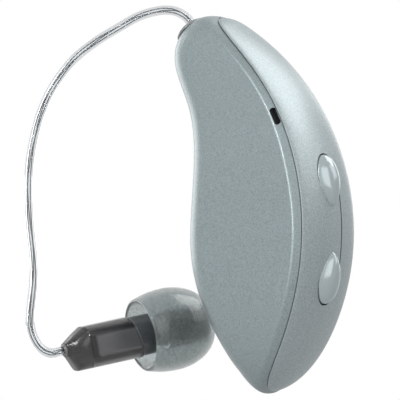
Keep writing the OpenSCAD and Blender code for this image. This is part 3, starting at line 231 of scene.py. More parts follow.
class AidSizes(bpy.types.PropertyGroup):
    """Sizes of the visible pieces."""

    body_height: length("Body height", "Height of the body", 0.036)
    body_depth: length("Body depth", "Depth of the body across its belly", 0.0156)
    body_thickness: length("Body thickness", "Greatest thickness of the body", 0.0086)
    wall: length("Tub wall", "Wall of the housing tub", 0.0009)
    cover_wall: length("Cover wall", "Wall of the spine cover", 0.00085)
    nose: length("Front rounding", "Depth of the rounding between the front and a side", 0.0032)
    rim_high: length("Upper rim", "Width of the bevelled rim at the top", 0.00086)
    rim_low: length("Lower rim", "Width of the bevelled rim at the bottom", 0.0006)
    ridge: length("Ridge rounding", "Rounding of the ridge between a side and its rim", 0.00022)
    seam: length("Seam", "Gap between the tub and the cover", 0.00012)
    gasket: length("Gasket", "Width of the gasket in the seam", 0.00036)
    slot_length: length("Slot length", "Length of a microphone slot", 0.0018)
    slot_width: length("Slot width", "Width of a microphone slot", 0.0005)
    inlet: length("Inlet bore", "Bore of the inlet at the top of the cover", 0.0007)
    rocker_length: length("Rocker length", "Length of the rocker", 0.0142)
    strip_width: length("Strip width", "Width of the rocker between its bumps", 0.0024)
    bump_width: length("Bump width", "Width of a bump on the rocker", 0.0029)
    bump_length: length("Bump length", "Length of a bump on the rocker", 0.0049)
    bump_height: length("Bump height", "Height of a bump on the rocker", 0.001)
    rocker_gap: length("Rocker gap", "Clearance round the rocker", 0.00012)
    rocker_wall: length("Rocker thickness", "Thickness of the rocker cap", 0.00095)
    collar: length("Collar", "Diameter of the plug's collar", 0.0034)
    collar_edge: length("Collar edge", "Thickness of the collar at its edge", 0.00015)
    collar_height: length("Collar height", "Height of the collar at its middle", 0.00055)
    collar_gap: length("Collar gap", "Clearance round the collar", 0.00006)
    lead_offset: length("Lead offset", "Distance of the lead from the collar's middle", 0.00035)
    lead: length("Lead", "Diameter of the lead", 0.0009)
    lead_bore: length("Lead bore", "Bore of the lead", 0.0005)
    strand: length("Strand", "Diameter of one twisted wire", 0.0001116)
    lay: length("Lay", "Length of one turn of the twisted wires", 0.03)
    shell_height: length("Receiver height", "Height of the receiver's shell", 0.0041)
    shell_width: length("Receiver width", "Width of the receiver's shell", 0.0036)
    shell_edge: length("Receiver edges", "Radius of the shell's long edges", 0.0015)
    shell_wall: length("Receiver wall", "Wall of the receiver's shell", 0.00035)
    shell_length: length("Receiver length", "Length of the receiver's shell", 0.0056)
    cap_length: length("End cap length", "Length of the bevelled end cap", 0.0021)
    cap_small: length("End cap tip", "Height of the end cap where the lead enters", 0.0015)
    lead_rise: length("Lead rise", "Height of the lead above the middle of the receiver", 0.00015)
    slant: length("Shell slant", "How far the shell's upper edge stops short of its lower edge", 0.0009)
    grommet: length("Grommet", "Diameter of the grommet round the lead", 0.0013)
    nozzle: length("Nozzle", "Diameter of the nozzle at the shell", 0.0039)
    nozzle_tip: length("Nozzle tip", "Diameter of the nozzle in the dome", 0.0029)
    nozzle_wide: length("Nozzle collar", "Length of the wide part of the nozzle", 0.0016)
    nozzle_length: length("Nozzle length", "Whole length of the nozzle", 0.0073)
    nozzle_bore: length("Nozzle bore", "Sound bore of the nozzle", 0.0011)
    guard_seat: length("Guard seat", "Bore of the wax guard's seat", 0.00188)
    guard_length: length("Guard length", "Length of the wax guard", 0.0013)
    guard_wall: length("Guard wall", "Wall of the wax guard", 0.00025)
    dome: length("Dome", "Diameter of the dome", 0.008)
    dome_length: length("Dome length", "Length of the dome", 0.007)
    dome_wall: length("Dome wall", "Thickness of the dome's skin", 0.0004)
    dome_grip: length("Dome core", "Length of the dome's core on the nozzle", 0.0048)
    dome_fit: length("Dome clearance", "Clearance of the dome's core on the nozzle", 0.00003)
    dome_hole: length("Dome hole", "Diameter of the sound hole", 0.002)
    grain: length("Paint grain", "Size of the flakes in the paint", 0.00014)
    plug_tilt: angle("Plug tilt", "Tilt of the plug forwards from straight up", 43.8)
    receiver_turn: angle("Receiver turn", "Turn of the receiver round the vertical", 65.3)
    receiver_rise: angle("Receiver rise", "Rise of the receiver above level", 11.0)


class AidColours(bpy.types.PropertyGroup):
    """Colours of the finishes, as linear values."""

    housing: colour("Housing", "Grey paint of the housing", (0.196, 0.236, 0.244))
    cover: colour("Cover", "Lighter paint of the spine cover", (0.266, 0.306, 0.316))
    gloss: colour("Bumps", "Polished bumps of the rocker", (0.30, 0.345, 0.355))
    # Near black on the walls of the slots and bores: painted shade inside them
    cuts: colour("Cuts", "Inside of the slots and bores", (0.012, 0.012, 0.013))
    # A darker grey on the walls of the rocker's window: painted shade in the gap round the rocker
    window: colour("Window", "Inside of the rocker's window", (0.15, 0.165, 0.17))
    seal: colour("Gasket", "Dark rubber of the gasket", (0.05, 0.055, 0.06))
    tube: colour("Lead", "Clear plastic of the lead", (0.93, 0.95, 0.96))
    haze: colour("Lead haze", "Tint that the lead's plastic takes with depth", (0.2, 0.2, 0.21))
    wires: colour("Wires", "Varnished wires in the lead", (0.21, 0.214, 0.22))
    collar: colour("Collar", "Smoked plastic of the plug's collar", (0.30, 0.315, 0.32))
    grommet: colour("Grommet", "Rubber of the grommet", (0.12, 0.12, 0.125))
    smoke: colour("Receiver", "Smoked plastic of the receiver", (0.24, 0.24, 0.246))
    nozzle: colour("Nozzle", "Grey plastic of the nozzle's slim part", (0.17, 0.174, 0.18))
    black: colour("Black plastic", "Black moulded plastic", (0.018, 0.020, 0.022))
    silicone: colour("Dome", "Smoky silicone of the dome", (0.46, 0.50, 0.50))
    guard: colour("Wax guard", "White plastic of the wax guard", (0.78, 0.78, 0.76))
    board: colour("Boards", "Solder mask of the boards", (0.02, 0.10, 0.045))
    film: colour("Film", "Flexible film of the switch board and the antenna", (0.40, 0.19, 0.04))
    chip: colour("Chips", "Resin of the chips", (0.022, 0.022, 0.024))
    capacitor: colour("Capacitors", "Ceramic of the capacitors", (0.42, 0.28, 0.14))
    ferrite: colour("Ferrite", "Dark ferrite", (0.045, 0.045, 0.05))
    copper: colour("Copper", "Varnished copper wire", (0.55, 0.20, 0.07))
    steel: colour("Steel", "Bright steel of cans and pins", (0.62, 0.62, 0.61))
    driver: colour("Driver", "Pale steel of the driver", (0.92, 0.92, 0.91))
    solder: colour("Solder", "Solder joints", (0.72, 0.72, 0.70))
    gold: colour("Contacts", "Plated contacts", (0.83, 0.60, 0.25))
    ivory: colour("Chassis", "Ivory plastic of the chassis and the lever", (0.66, 0.66, 0.62))
    layers: colour("Cell", "Dark layers of the cell", (0.06, 0.06, 0.065))
    duct: colour("Ducts", "Rubber round the microphones", (0.06, 0.06, 0.065))
    foam: colour("Foam", "Foam pads of the cell", (0.05, 0.05, 0.052))
    inlet_mesh: colour("Inlet mesh", "Mesh of the slots and the inlet", (0.008, 0.008, 0.009))
    wax_mesh: colour("Wax mesh", "Steel mesh of the wax guard", (0.5, 0.5, 0.5))


def sizes():
    """The sizes of the scene."""
    return bpy.context.scene.aid_sizes


def colours():
    """The colours of the scene."""
    return bpy.context.scene.aid_colours


def spline(rows, s):
    """Uniform cubic B-spline: each point mixes four rows with the weights (1-t)^3, 3t^3-6t^2+4,
    -3t^3+3t^2+3t+1 and t^3 over six. The table is carried on straight past both of its ends, so the curve
    starts and ends on it."""
    n = len(rows) - 1
    table = np.vstack([2 * rows[0] - rows[1], rows, 2 * rows[-1] - rows[-2]])
    x = np.clip(s, 0, 1) * n
    i = np.minimum(np.floor(x).astype(int), n - 1)
    t = (x - i)[..., None]
    return ((1 - t) ** 3 * table[i] + (3 * t ** 3 - 6 * t ** 2 + 4) * table[i + 1]
            + (-3 * t ** 3 + 3 * t ** 2 + 3 * t + 1) * table[i + 2] + t ** 3 * table[i + 3]) / 6


def place(shares):
    """Depth and height of a place given as shares of the body."""
    size = sizes()
    return shares[0] * size.body_depth, (shares[1] - REST_SHARE) * size.body_height


def ribs(s):
    """Front points, seam points, half width at the seam and half thickness at the side, for every s."""
    size = sizes()
    r = spline(RIB_SHARES, s)
    x = r[:, [0, 2]] * size.body_depth
    z = (r[:, [1, 3]] - REST_SHARE) * size.body_height
    half = r[:, 4:6] * size.body_thickness / 2
    return np.stack([x[:, 0], z[:, 0]], 1), np.stack([x[:, 1], z[:, 1]], 1), half[:, 0], half[:, 1]


def spine_normals(s):
    """Outward direction of the seam curve in the X and Z plane: its tangent turned by a quarter."""
    step = 0.004
    a = ribs(np.clip(s - step, 0, 1))[1]
    b = ribs(np.clip(s + step, 0, 1))[1]
    d = b - a
    d /= np.linalg.norm(d, axis=1)[:, None]
    return np.stack([-d[:, 1], d[:, 0]], 1)


def bulge(v):
    """Height of the spine above the seam: one minus v squared, to the bulge power."""
    return np.maximum(1 - v * v, 0) ** BULGE_POWER


def on_sheet(s, y, off):
    """Points at width y on the sheet through the seam, moved outwards by off along the spine's normal."""
    seam, n = ribs(s)[1], spine_normals(s)
    return np.stack([seam[:, 0:1] + n[:, 0:1] * off, y + 0 * off, seam[:, 1:2] + n[:, 1:2] * off], -1)


def seam_ends(places, off):
    """Points on the middle plane at two places along the seam, moved outwards by off."""
    return on_sheet(np.array(places), np.zeros((2, 1)), np.full((2, 1), off))[:, 0]


def seam_table():
    """Points, half widths and outward directions at many even steps along the seam, short of its ends."""
    s = np.linspace(0.02, 0.98, 1500)
    _, seam, half, _ = ribs(s)
    return seam, half, spine_normals(s)


def spine_depth(y, z):
    """Depth of the cover's outer surface at width y and height z: the seam's depth plus the gap and the
    bulge, both over the depth part of the seam's outward direction."""
    seam, half, out = seam_table()
    order = np.argsort(seam[:, 1])
    depth, width, lean = (np.interp(z, seam[order, 1], v[order]) for v in (seam[:, 0], half, out[:, 0]))
    return depth + (sizes().seam + BULGE_SHARE * width * bulge(y / width)) / lean


def along(count):
    """Even steps from 0 to 1 that close up near both ends: u less 0.09 of the sine of its whole turn."""
    u = np.linspace(0, 1, count)
    return u - 0.09 * np.sin(2 * math.pi * u)


def smooth_step(x):
    """Zero below 0, one above 1, and 3x^2-2x^3 between."""
    x = np.clip(x, 0, 1)
    return x * x * (3 - 2 * x)


def fade(s, start, end, width, least):
    """Rises to one within a width after the start and falls before the end, but never below the least."""
    return np.maximum(smooth_step((s - start) / width) * smooth_step((end - s) / width), least)[:, None]


def grid_faces(n, m, loop, poles):
    """Faces between neighbours on a grid of n rows and m columns that is closed across. loop closes it
    along, and poles adds a fan from the point n*m to the first row and from n*m+1 to the last one."""
    r, c = np.meshgrid(np.arange(n if loop else n - 1), np.arange(m), indexing="ij")
    r2, c2 = (r + 1) % n, (c + 1) % m
    faces = np.stack([r * m + c, r * m + c2, r2 * m + c2, r2 * m + c], -1).reshape(-1, 4).tolist()
    if poles:
        c = np.arange(m)
        c2 = (c + 1) % m
        last = (n - 1) * m
        faces += np.stack([c2, c, np.full_like(c, n * m)], 1).tolist()
        faces += np.stack([last + c, last + c2, np.full_like(c, n * m + 1)], 1).tolist()
    return faces


def outward(points, faces):
    """The faces turned so that the closed surface holds a positive volume."""
    tris = np.array([[f[0], f[i], f[i + 1]] for f in faces for i in range(1, len(f) - 1)])
    a, b, c = points[tris[:, 0]], points[tris[:, 1]], points[tris[:, 2]]
    volume = np.einsum("ij,ij->i", a, np.cross(b, c)).sum()
    return faces if volume > 0 else [f[::-1] for f in faces]


def surface(points, loop=False, ends=None):
    """Points and faces of a closed grid, with one point added at each end where ends are given."""
    n, m = points.shape[:2]
    flat = points.reshape(-1, 3)
    if ends is not None:
        flat = np.vstack([flat, ends])
    return flat, outward(flat, grid_faces(n, m, loop, ends is not None))


def joined(parts):
    """Several closed surfaces as one list of points and one of faces."""
    points, faces, start = [], [], 0
    for p, f in parts:
        points.append(p)
        faces += [[i + start for i in g] for g in f]
        start += len(p)
    return np.vstack(points), faces


def new_object(name, shape, material):
    """A mesh object at the origin from points and faces."""
    mesh = bpy.data.meshes.new(name)
    mesh.from_pydata(shape[0].tolist(), [], shape[1])
    mesh.polygons.foreach_set("use_smooth", [True] * len(mesh.polygons))
    mesh.materials.append(material)
    mesh.update()
    made = bpy.data.objects.new(name, mesh)
    bpy.context.scene.collection.objects.link(made)
    return made


def piece(name, shape, material, body, node):
    """A visible piece that rides on a body and stands for a CAD node."""
    made = new_object(name, shape, material)
    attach(made, body)
    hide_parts(node)
    return made


def cut(target, shapes, inside):
    """Takes closed shapes out of a piece, gives the cut faces painted shade as a second finish, keeps edges
    crisp.
    """
    target.data.materials.append(inside)
    for shape in shapes:
        tool = new_object("cutting_tool", shape, target.data.materials[0])
        tool.data.materials.append(inside)
        tool.data.polygons.foreach_set("material_index", [1] * len(tool.data.polygons))
        change = target.modifiers.new("cut", "BOOLEAN")
        change.operation = "DIFFERENCE"
        change.solver = "EXACT"
        change.object = tool
        seen = target.evaluated_get(bpy.context.evaluated_depsgraph_get())
        mesh = bpy.data.meshes.new_from_object(seen)
        target.modifiers.clear()
        target.data = mesh
        bpy.data.objects.remove(tool)
    target.data.polygons.foreach_set("use_smooth", [True] * len(target.data.polygons))
    target.data.set_sharp_from_angle(angle=math.radians(38))


def turned(profile, sides):
    """A profile of distances along an axis and radii, carried round the axis."""
    a = np.linspace(0, 2 * math.pi, sides, endpoint=False)
    x, r = profile[:, 0:1], profile[:, 1:2]
    return np.stack([x + 0 * a, r * np.cos(a), r * np.sin(a)], -1)


def turned_solid(profile, sides):
    """A closed solid of turning. Its profile is closed off the axis, or has both its end points on it."""
    if profile[0, 1] == 0 and profile[-1, 1] == 0:
        ends = np.array([[profile[0, 0], 0, 0], [profile[-1, 0], 0, 0]])
        return surface(turned(profile[1:-1], sides), ends=ends)
    return surface(turned(profile, sides), loop=True)


def moved(shape, axes, origin):
    """Points of a shape taken from its own axes to the row's."""
    return shape[0] @ np.array(axes) + np.array(origin), shape[1]


def shifted(shape, *by):
    """A shape moved by a distance along each of its own axes."""
    return shape[0] + np.array(by), shape[1]


def plug_frame():
    """Axes and origin of the plug: its first axis leaves the body."""
    t = sizes().plug_tilt
    x, z = place(PLUG_SHARES)
    return [[-math.sin(t), 0, math.cos(t)], [math.cos(t), 0, math.sin(t)], [0, 1, 0]], [x, 0, z]


def receiver_frame():
    """Axes and origin of the receiver: its first axis runs along its middle from the lead to the dome."""
    size = sizes()
    ct, st = math.cos(size.receiver_turn), math.sin(size.receiver_turn)
    cr, sr = math.cos(size.receiver_rise), math.sin(size.receiver_rise)
    axes = [[cr * ct, cr * st, sr], [-st, ct, 0], [-sr * ct, -sr * st, cr]]
    return axes, (LEAD_POINTS[-1] - size.lead_rise * np.array(axes[2])).tolist()


def round_rectangle(width, height, radius, corner=12):
    """A ring of four quarter circles whose centres stand a radius inside the corners."""
    quarter = np.linspace(0, math.pi / 2, corner)
    rings = []
    for i, (sy, sz) in enumerate(((1, 1), (-1, 1), (-1, -1), (1, -1))):
        t = quarter + i * math.pi / 2
        y = sy * (width / 2 - radius) + radius * np.cos(t)
        z = sz * (height / 2 - radius) + radius * np.sin(t)
        rings.append(np.stack([y, z], 1))
    return np.vstack(rings)


def loft(stations):
    """Rows of points from stations of distance along the axis and a ring across it."""
    return np.stack([np.column_stack([np.full(len(ring), x), ring]) for x, ring in stations])


def prism(low, high, ring, middle=0.0):
    """A ring carried straight along the axis, closed at each end by a fan from the middle height."""
    ends = np.array([[low, 0, middle], [high, 0, middle]])
    return surface(loft([(low, ring), (high, ring)]), ends=ends)


def parabola(start, corner, end, t):
    """A curve that touches the lines to its corner: (1-t)^2, 2t(1-t) and t^2 of the three points."""
    return (1 - t) ** 2 * start + 2 * t * (1 - t) * corner + t ** 2 * end


def path_frames(points):
    """Two directions across a path: its tangent's cross with Y, and the tangent's cross with the first."""
    t = np.gradient(points, axis=0)
    t /= np.linalg.norm(t, axis=1)[:, None]
    a = np.cross(t, [0.0, 1.0, 0.0])
    a /= np.linalg.norm(a, axis=1)[:, None]
    return a, np.cross(t, a)


def pipe(points, radius, sides):
    """Rings round the points of a path: point plus radius times cos and sin of the directions across it."""
    a, b = path_frames(points)
    w = np.linspace(0, 2 * math.pi, sides, endpoint=False)
    across = np.cos(w)[None, :, None] * a[:, None] + np.sin(w)[None, :, None] * b[:, None]
    return points[:, None] + radius * across


def nodes_of(name):
    """A new material with its node tree and its main shader."""
    material = bpy.data.materials.new(name)
    material.use_nodes = True
    tree = material.node_tree
    return material, tree, tree.nodes["Principled BSDF"]


def set_inputs(node, **values):
    """Sets a node's input values under their names, with underscores for spaces."""
    for key, value in values.items():
        node.inputs[key.replace("_", " ")].default_value = value


def add(tree, kind, **values):
    """A node with its settings, and with its input values under their names."""
    made = tree.nodes.new(kind)
    for key, value in values.items():
        if hasattr(made, key):
            setattr(made, key, value)
        else:
            set_inputs(made, **{key: value})
    return made


def coordinates(tree):
    """The object's own coordinates."""
    return add(tree, "ShaderNodeTexCoord").outputs["Object"]


def noise(tree, where, grain, detail=3.0, roughness=0.5):
    """Noise whose features are about one grain wide, in metres."""
    made = add(tree, "ShaderNodeTexNoise", Scale=1 / grain, Detail=detail, Roughness=roughness)
    tree.links.new(where, made.inputs["Vector"])
    return made.outputs["Fac"]


def tint(tree, shader, factor, dark, light, low=0.3, high=0.7):
    """Blends the base colour from dark to light between two values of a factor."""
    made = add(tree, "ShaderNodeValToRGB")
    tree.links.new(factor, made.inputs["Fac"])
    for stop, place, there in zip(made.color_ramp.elements, (low, high), (dark, light)):
        stop.position = place
        stop.color = (*there, 1)
    tree.links.new(made.outputs["Color"], shader.inputs["Base Color"])


def remap(tree, factor, low, high, to_low, to_high):
    """A value taken from one range to another."""
    made = add(tree, "ShaderNodeMapRange", From_Min=low, From_Max=high, To_Min=to_low, To_Max=to_high)
    tree.links.new(factor, made.inputs["Value"])
    return made.outputs["Result"]


def vary_roughness(tree, shader, factor, low, high):
    """Takes the roughness from low to high with a factor from 0.3 to 0.7."""
    tree.links.new(remap(tree, factor, 0.3, 0.7, low, high), shader.inputs["Roughness"])


def relief(tree, shader, height, depth):
    """Bump of a given depth in metres."""
    made = add(tree, "ShaderNodeBump", Strength=1.0, Distance=depth)
    tree.links.new(height, made.inputs["Height"])
    tree.links.new(made.outputs["Normal"], shader.inputs["Normal"])


def combine(tree, operation, first, second):
    """Two values joined by a math node."""
    made = add(tree, "ShaderNodeMath", operation=operation)
    tree.links.new(first, made.inputs[0])
    tree.links.new(second, made.inputs[1])
    return made.outputs["Value"]


def bands(tree, where, direction, pitch, distortion=0.0):
    """Bands across a direction, one to each pitch."""
    made = add(tree, "ShaderNodeTexWave", wave_type="BANDS", bands_direction=direction, Scale=BAND / pitch,
               Distortion=distortion)
    tree.links.new(where, made.inputs["Vector"])
    return made.outputs["Fac"]


def shade(value, by):
    """A colour made lighter or darker by a factor."""
    return tuple(min(1.0, c * by) for c in value)


def flake_paint(name, tone, rough=0.42, metal=0.35, coat=0.3):
    """Metallic paint: fine flakes vary its colour and roughness, and finer ones its surface."""
    grain = sizes().grain
    material, tree, shader = nodes_of(name)
    where = coordinates(tree)
    flakes = noise(tree, where, grain, 2.0, 0.6)
    tint(tree, shader, flakes, shade(tone, 0.80), shade(tone, 1.20), 0.30, 0.72)
    vary_roughness(tree, shader, flakes, rough - 0.04, rough + 0.04)
    relief(tree, shader, noise(tree, where, grain * 0.8, 2.0, 0.7), grain * 0.03)
    set_inputs(shader, Metallic=metal, Specular_IOR_Level=0.25, Coat_Weight=coat, Coat_Roughness=0.12)
    return material


def moulded(name, tone, rough, grain=0.00012, depth=0.000004):
    """Moulded plastic or rubber: a fine grain roughens it, and a broad one changes its colour a little."""
    material, tree, shader = nodes_of(name)
    where = coordinates(tree)
    fine = noise(tree, where, grain, 3.0, 0.6)
    tint(tree, shader, noise(tree, where, grain * 12, 2.0), shade(tone, 0.86), shade(tone, 1.14))
    vary_roughness(tree, shader, fine, rough - 0.06, rough + 0.08)
    relief(tree, shader, fine, depth)
    return material


def brushed(name, tone, rough=0.3, stretch=(12.0, 1.0, 1.0)):
    """Brushed metal: noise drawn out along one direction sets colour, roughness and fine scratches."""
    grain = 0.00008
    material, tree, shader = nodes_of(name)
    drawn = add(tree, "ShaderNodeMapping", Scale=tuple(1 / s for s in stretch))
    tree.links.new(coordinates(tree), drawn.inputs["Vector"])
    fine = noise(tree, drawn.outputs["Vector"], grain, 4.0, 0.65)
    tint(tree, shader, fine, shade(tone, 0.82), shade(tone, 1.1))
    vary_roughness(tree, shader, fine, rough - 0.08, rough + 0.1)
    relief(tree, shader, fine, grain * 0.03)
    set_inputs(shader, Metallic=1.0)
    return material


def wound(name, tone, pitch=0.00009, direction="Z"):
    """Varnished wire: bands across the winding with a groove between the turns, darkened there as painted
    shade.
    """
    material, tree, shader = nodes_of(name)
    turns = bands(tree, coordinates(tree), direction, pitch, 0.15)
    # Dark bands in the grooves between the turns: painted shade
    tint(tree, shader, turns, shade(tone, 0.45), shade(tone, 1.15), 0.1, 0.9)
    relief(tree, shader, turns, pitch * 0.2)
    set_inputs(shader, Metallic=0.85, Roughness=0.32)
    return material


def circuit(name, tone):
    """Circuit board: a grid of lighter tracks under the solder mask, with an uneven gloss."""
    material, tree, shader = nodes_of(name)
    where = coordinates(tree)
    turn = add(tree, "ShaderNodeMapping", Rotation=(math.pi / 2, 0, 0))
    tracks = add(tree, "ShaderNodeTexBrick", Scale=1.0, Brick_Width=0.0011, Row_Height=0.00042,
                 Mortar_Size=0.00007, Color1=(*tone, 1), Color2=(*shade(tone, 0.8), 1),
                 Mortar=(*shade(tone, 2.4), 1))
    tree.links.new(where, turn.inputs["Vector"])
    tree.links.new(turn.outputs["Vector"], tracks.inputs["Vector"])
    tree.links.new(tracks.outputs["Color"], shader.inputs["Base Color"])
    relief(tree, shader, tracks.outputs["Fac"], 0.00001)
    vary_roughness(tree, shader, noise(tree, where, 0.0003), 0.25, 0.42)
    return material


def foam(name, tone):
    """Closed foam: small cells with dark walls."""
    cell = 0.00022
    material, tree, shader = nodes_of(name)
    cells = add(tree, "ShaderNodeTexVoronoi", Scale=1 / cell)
    tree.links.new(coordinates(tree), cells.inputs["Vector"])
    tint(tree, shader, cells.outputs["Distance"], shade(tone, 1.3), shade(tone, 0.6), 0.0, 0.7)
    relief(tree, shader, cells.outputs["Distance"], 0.00003)
    set_inputs(shader, Roughness=0.9)
    return material


def clear_plastic(name, tone, rough, weight=1.0, haze=0.0, index=1.42, grain=0.0004, clouds=0.02, depth=0.0):
    """Clear or smoked plastic that light goes through, with clouds in its roughness and colour."""
    material, tree, shader = nodes_of(name)
    cloud = noise(tree, coordinates(tree), grain, 3.0)
    tint(tree, shader, cloud, shade(tone, 1 - clouds), shade(tone, 1 + clouds))
    vary_roughness(tree, shader, cloud, rough - 0.02, rough + 0.02 + haze)
    set_inputs(shader, Transmission_Weight=weight, IOR=index)
    if depth:
        relief(tree, shader, cloud, depth)
    return material


def painted_driver_light(material, low, high, half, dark, light):
    """Painted light on a smoked plastic: lighter where the driver shows through, between two distances along
    the receiver and within a half height about its middle, and darker elsewhere as painted shade."""
    axes, origin = receiver_frame()
    tree = material.node_tree
    where = coordinates(tree)
    mask = None
    for way, near, far in ((axes[0], low, high), (axes[2], -half, half)):
        run = add(tree, "ShaderNodeVectorMath", operation="DOT_PRODUCT")
        tree.links.new(where, run.inputs[0])
        run.inputs[1].default_value = way
        start = float(np.dot(way, origin))
        for place, before, after in ((start + near, 0.0, 1.0), (start + far, 1.0, 0.0)):
            side = remap(tree, run.outputs["Value"], place - DRIVER_LIGHT_EDGE, place + DRIVER_LIGHT_EDGE, before, after)
            mask = side if mask is None else combine(tree, "MULTIPLY", mask, side)
    tint(tree, tree.nodes["Principled BSDF"], mask, dark, light, 0.0, 1.0)


def dotted_mesh(name, tone):
    """Fine woven mesh: two crossed sets of dark bands."""
    pitch = 0.00009
    material, tree, shader = nodes_of(name)
    where = coordinates(tree)
    weave = combine(tree, "MAXIMUM", bands(tree, where, "Z", pitch), bands(tree, where, "X", pitch))
    tint(tree, shader, weave, shade(tone, 0.2), tone, 0.5, 0.95)
    relief(tree, shader, weave, 0.00002)
    set_inputs(shader, Roughness=0.8, Specular_IOR_Level=0.15)
    return material


def finish(material, *names):
    """Gives the CAD nodes of these names a finish."""
    for name in names:
        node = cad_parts[name]
        if not node.material_slots:
            node.data.materials.append(material)
        for socket in node.material_slots:
            socket.material = material


def white_where_seen(tree, plain, white):
    """The plain shader for the light that reaches the object, and the white one where the camera sees it,
    straight, in a reflection or through clear plastic."""
    path = add(tree, "ShaderNodeLightPath").outputs
    seen = combine(tree, "MAXIMUM", path["Is Camera Ray"], path["Is Glossy Ray"])
    seen = combine(tree, "MAXIMUM", seen, path["Is Transmission Ray"])
    mix = add(tree, "ShaderNodeMixShader")
    for socket, source in zip(mix.inputs, (seen, plain, white)):
        tree.links.new(source, socket)
    return mix.outputs["Shader"]


def set_camera(scene):
    """A level camera at the photograph's angle: so far away that its lens gives the picture's scale."""
    back = Vector((math.sin(VIEW_TURN), -math.cos(VIEW_TURN), 0))
    right = Vector((math.cos(VIEW_TURN), math.sin(VIEW_TURN), 0))
    far = PICTURE / PIXELS_PER_METRE * LENS / SENSOR
    across = right * ((PICTURE / 2 - ORIGIN_COLUMN) / PIXELS_PER_METRE)
    up = Vector((0, 0, (FOOT_ROW - PICTURE / 2) / PIXELS_PER_METRE + FOOT_HEIGHT))
    data = bpy.data.cameras.new("camera")
    data.lens, data.sensor_width = LENS * 1000, SENSOR * 1000
    data.clip_start, data.clip_end = 0.01, 10
    camera = bpy.data.objects.new("camera", data)
    camera.location = across + up + back * AIM_DEPTH + back * far
    camera.rotation_euler = (-back).to_track_quat("-Z", "Y").to_euler()
    scene.collection.objects.link(camera)
    scene.camera = camera


def set_lamps(scene):
    """Soft rectangular lamps round the object, all turned towards it."""
    for name, turn, rise, away, wide, tall, power in LAMPS:
        a, e = math.radians(turn), math.radians(rise)
        way = Vector((math.sin(a) * math.cos(e), -math.cos(a) * math.cos(e), math.sin(e)))
        light = bpy.data.lights.new(name, "AREA")
        light.shape, light.size, light.size_y, light.energy = "RECTANGLE", wide, tall, power
        lamp = bpy.data.objects.new(name, light)
        lamp.location = Vector(LAMP_AIM) + way * away
        lamp.rotation_euler = way.to_track_quat("Z", "Y").to_euler()
        scene.collection.objects.link(lamp)


def set_world(scene):
    """A dim pale room that the camera sees as white."""
    world = bpy.data.worlds.new("studio")
    world.use_nodes = True
    scene.world = world
    tree = world.node_tree
    tree.nodes.clear()
    room = add(tree, "ShaderNodeBackground", Color=(0.98, 1.0, 1.0, 1), Strength=ROOM_LIGHT)
    white = add(tree, "ShaderNodeBackground", Color=(1, 1, 1, 1), Strength=1.0)
    out = add(tree, "ShaderNodeOutputWorld")
    seen = white_where_seen(tree, room.outputs["Background"], white.outputs["Background"])
    tree.links.new(seen, out.inputs["Surface"])


def set_floor():
    """A pale floor just under the object, which the camera sees as white."""
    low, half = cad_box[0].z - FLOOR_GAP, FLOOR_HALF
    corners = np.array([[-half, -half, low], [half, -half, low], [half, half, low], [-half, half, low]])
    material, tree, shader = nodes_of("floor")
    tint(tree, shader, noise(tree, coordinates(tree), 0.004), (0.48, 0.48, 0.48), (0.52, 0.52, 0.52))
    set_inputs(shader, Roughness=0.7)
    glow = add(tree, "ShaderNodeEmission", Strength=1.0)
    seen = white_where_seen(tree, shader.outputs["BSDF"], glow.outputs["Emission"])
    tree.links.new(seen, tree.nodes["Material Output"].inputs["Surface"])
    new_object("floor", (corners, [[0, 1, 2, 3]]), material)


class AidOperator:
    """What all the operators share: they run with no question and can be undone."""

    bl_options = {"REGISTER", "UNDO"}


class AID_OT_stage(AidOperator, bpy.types.Operator):
    """Makes the camera, the lights, the world and the floor"""

    bl_idname = "aid.stage"
    bl_label = "Stage"

    def execute(self, context):
        scene = context.scene
        scene.view_settings.view_transform = "Standard"
        set_camera(scene)
        set_lamps(scene)
        set_world(scene)
        set_floor()
        return {"FINISHED"}


def lead_route():
    """The lead's points: it leaves the collar along the plug and comes in along the receiver."""
    size = sizes()
    axes, origin = plug_frame()
    way, side = np.array(axes[0]), np.array(axes[1])
    start = np.array(origin) + side * size.lead_offset + way * (size.collar_height + size.collar_edge)
    towards = np.array(receiver_frame()[0][0])
    return np.vstack([start, start + size.lead * way, LEAD_POINTS[:-2], LEAD_POINTS[-1] - size.lead * towards,
                      LEAD_POINTS[-1]])


def twisted_strands(route):
    """Three strands, each a helix round the lead's middle, at the radius that keeps it in the bore."""
    size = sizes()
    line = spline(route, np.linspace(*WIRE_SHARES, 700))
    run = np.concatenate([[0], np.cumsum(np.linalg.norm(np.diff(line, axis=0), axis=1))])
    a, b = path_frames(line)
    radius = size.lead_bore / 2 - size.strand / 2 - WIRE_PLAY
    strands = []
    for n in range(3):
        w = (2 * math.pi * run / size.lay + 2 * math.pi * n / 3)[:, None]
        strand = pipe(line + radius * (np.cos(w) * a + np.sin(w) * b), size.strand / 2, 12)
        strands.append(surface(strand, ends=np.array([strand[0].mean(0), strand[-1].mean(0)])))
    return joined(strands)


class AID_OT_lead(AidOperator, bpy.types.Operator):
    """Makes the clear lead and the twisted wires inside it"""

    bl_idname = "aid.lead"
    bl_label = "Lead"

    def execute(self, context):
        size, tones = sizes(), colours()
        route = lead_route()
        line = spline(route, np.linspace(0, 1, 560))
        outer, bore = pipe(line, size.lead / 2, 64), pipe(line, size.lead_bore / 2, 64)
        clear = clear_plastic("lead clear plastic", tones.tube, 0.05, index=1.17, grain=0.002)
        tree = clear.node_tree
        haze = add(tree, "ShaderNodeVolumeAbsorption", Color=(*tones.haze, 1), Density=620.0)
        tree.links.new(haze.outputs["Volume"], tree.nodes["Material Output"].inputs["Volume"])
        tube = surface(np.vstack([outer, bore[::-1]]), loop=True)
        lead = piece("clear_lead", tube, clear, LEAD, "lead_tube")
        varnish = moulded("wire varnish", tones.wires, 0.6, 0.0006, 0.000001)
        set_inputs(varnish.node_tree.nodes["Principled BSDF"], Specular_IOR_Level=0.1)
        wires = piece("twisted_wires", twisted_strands(route), varnish, LEAD, "lead_wires")
        return {"FINISHED"}


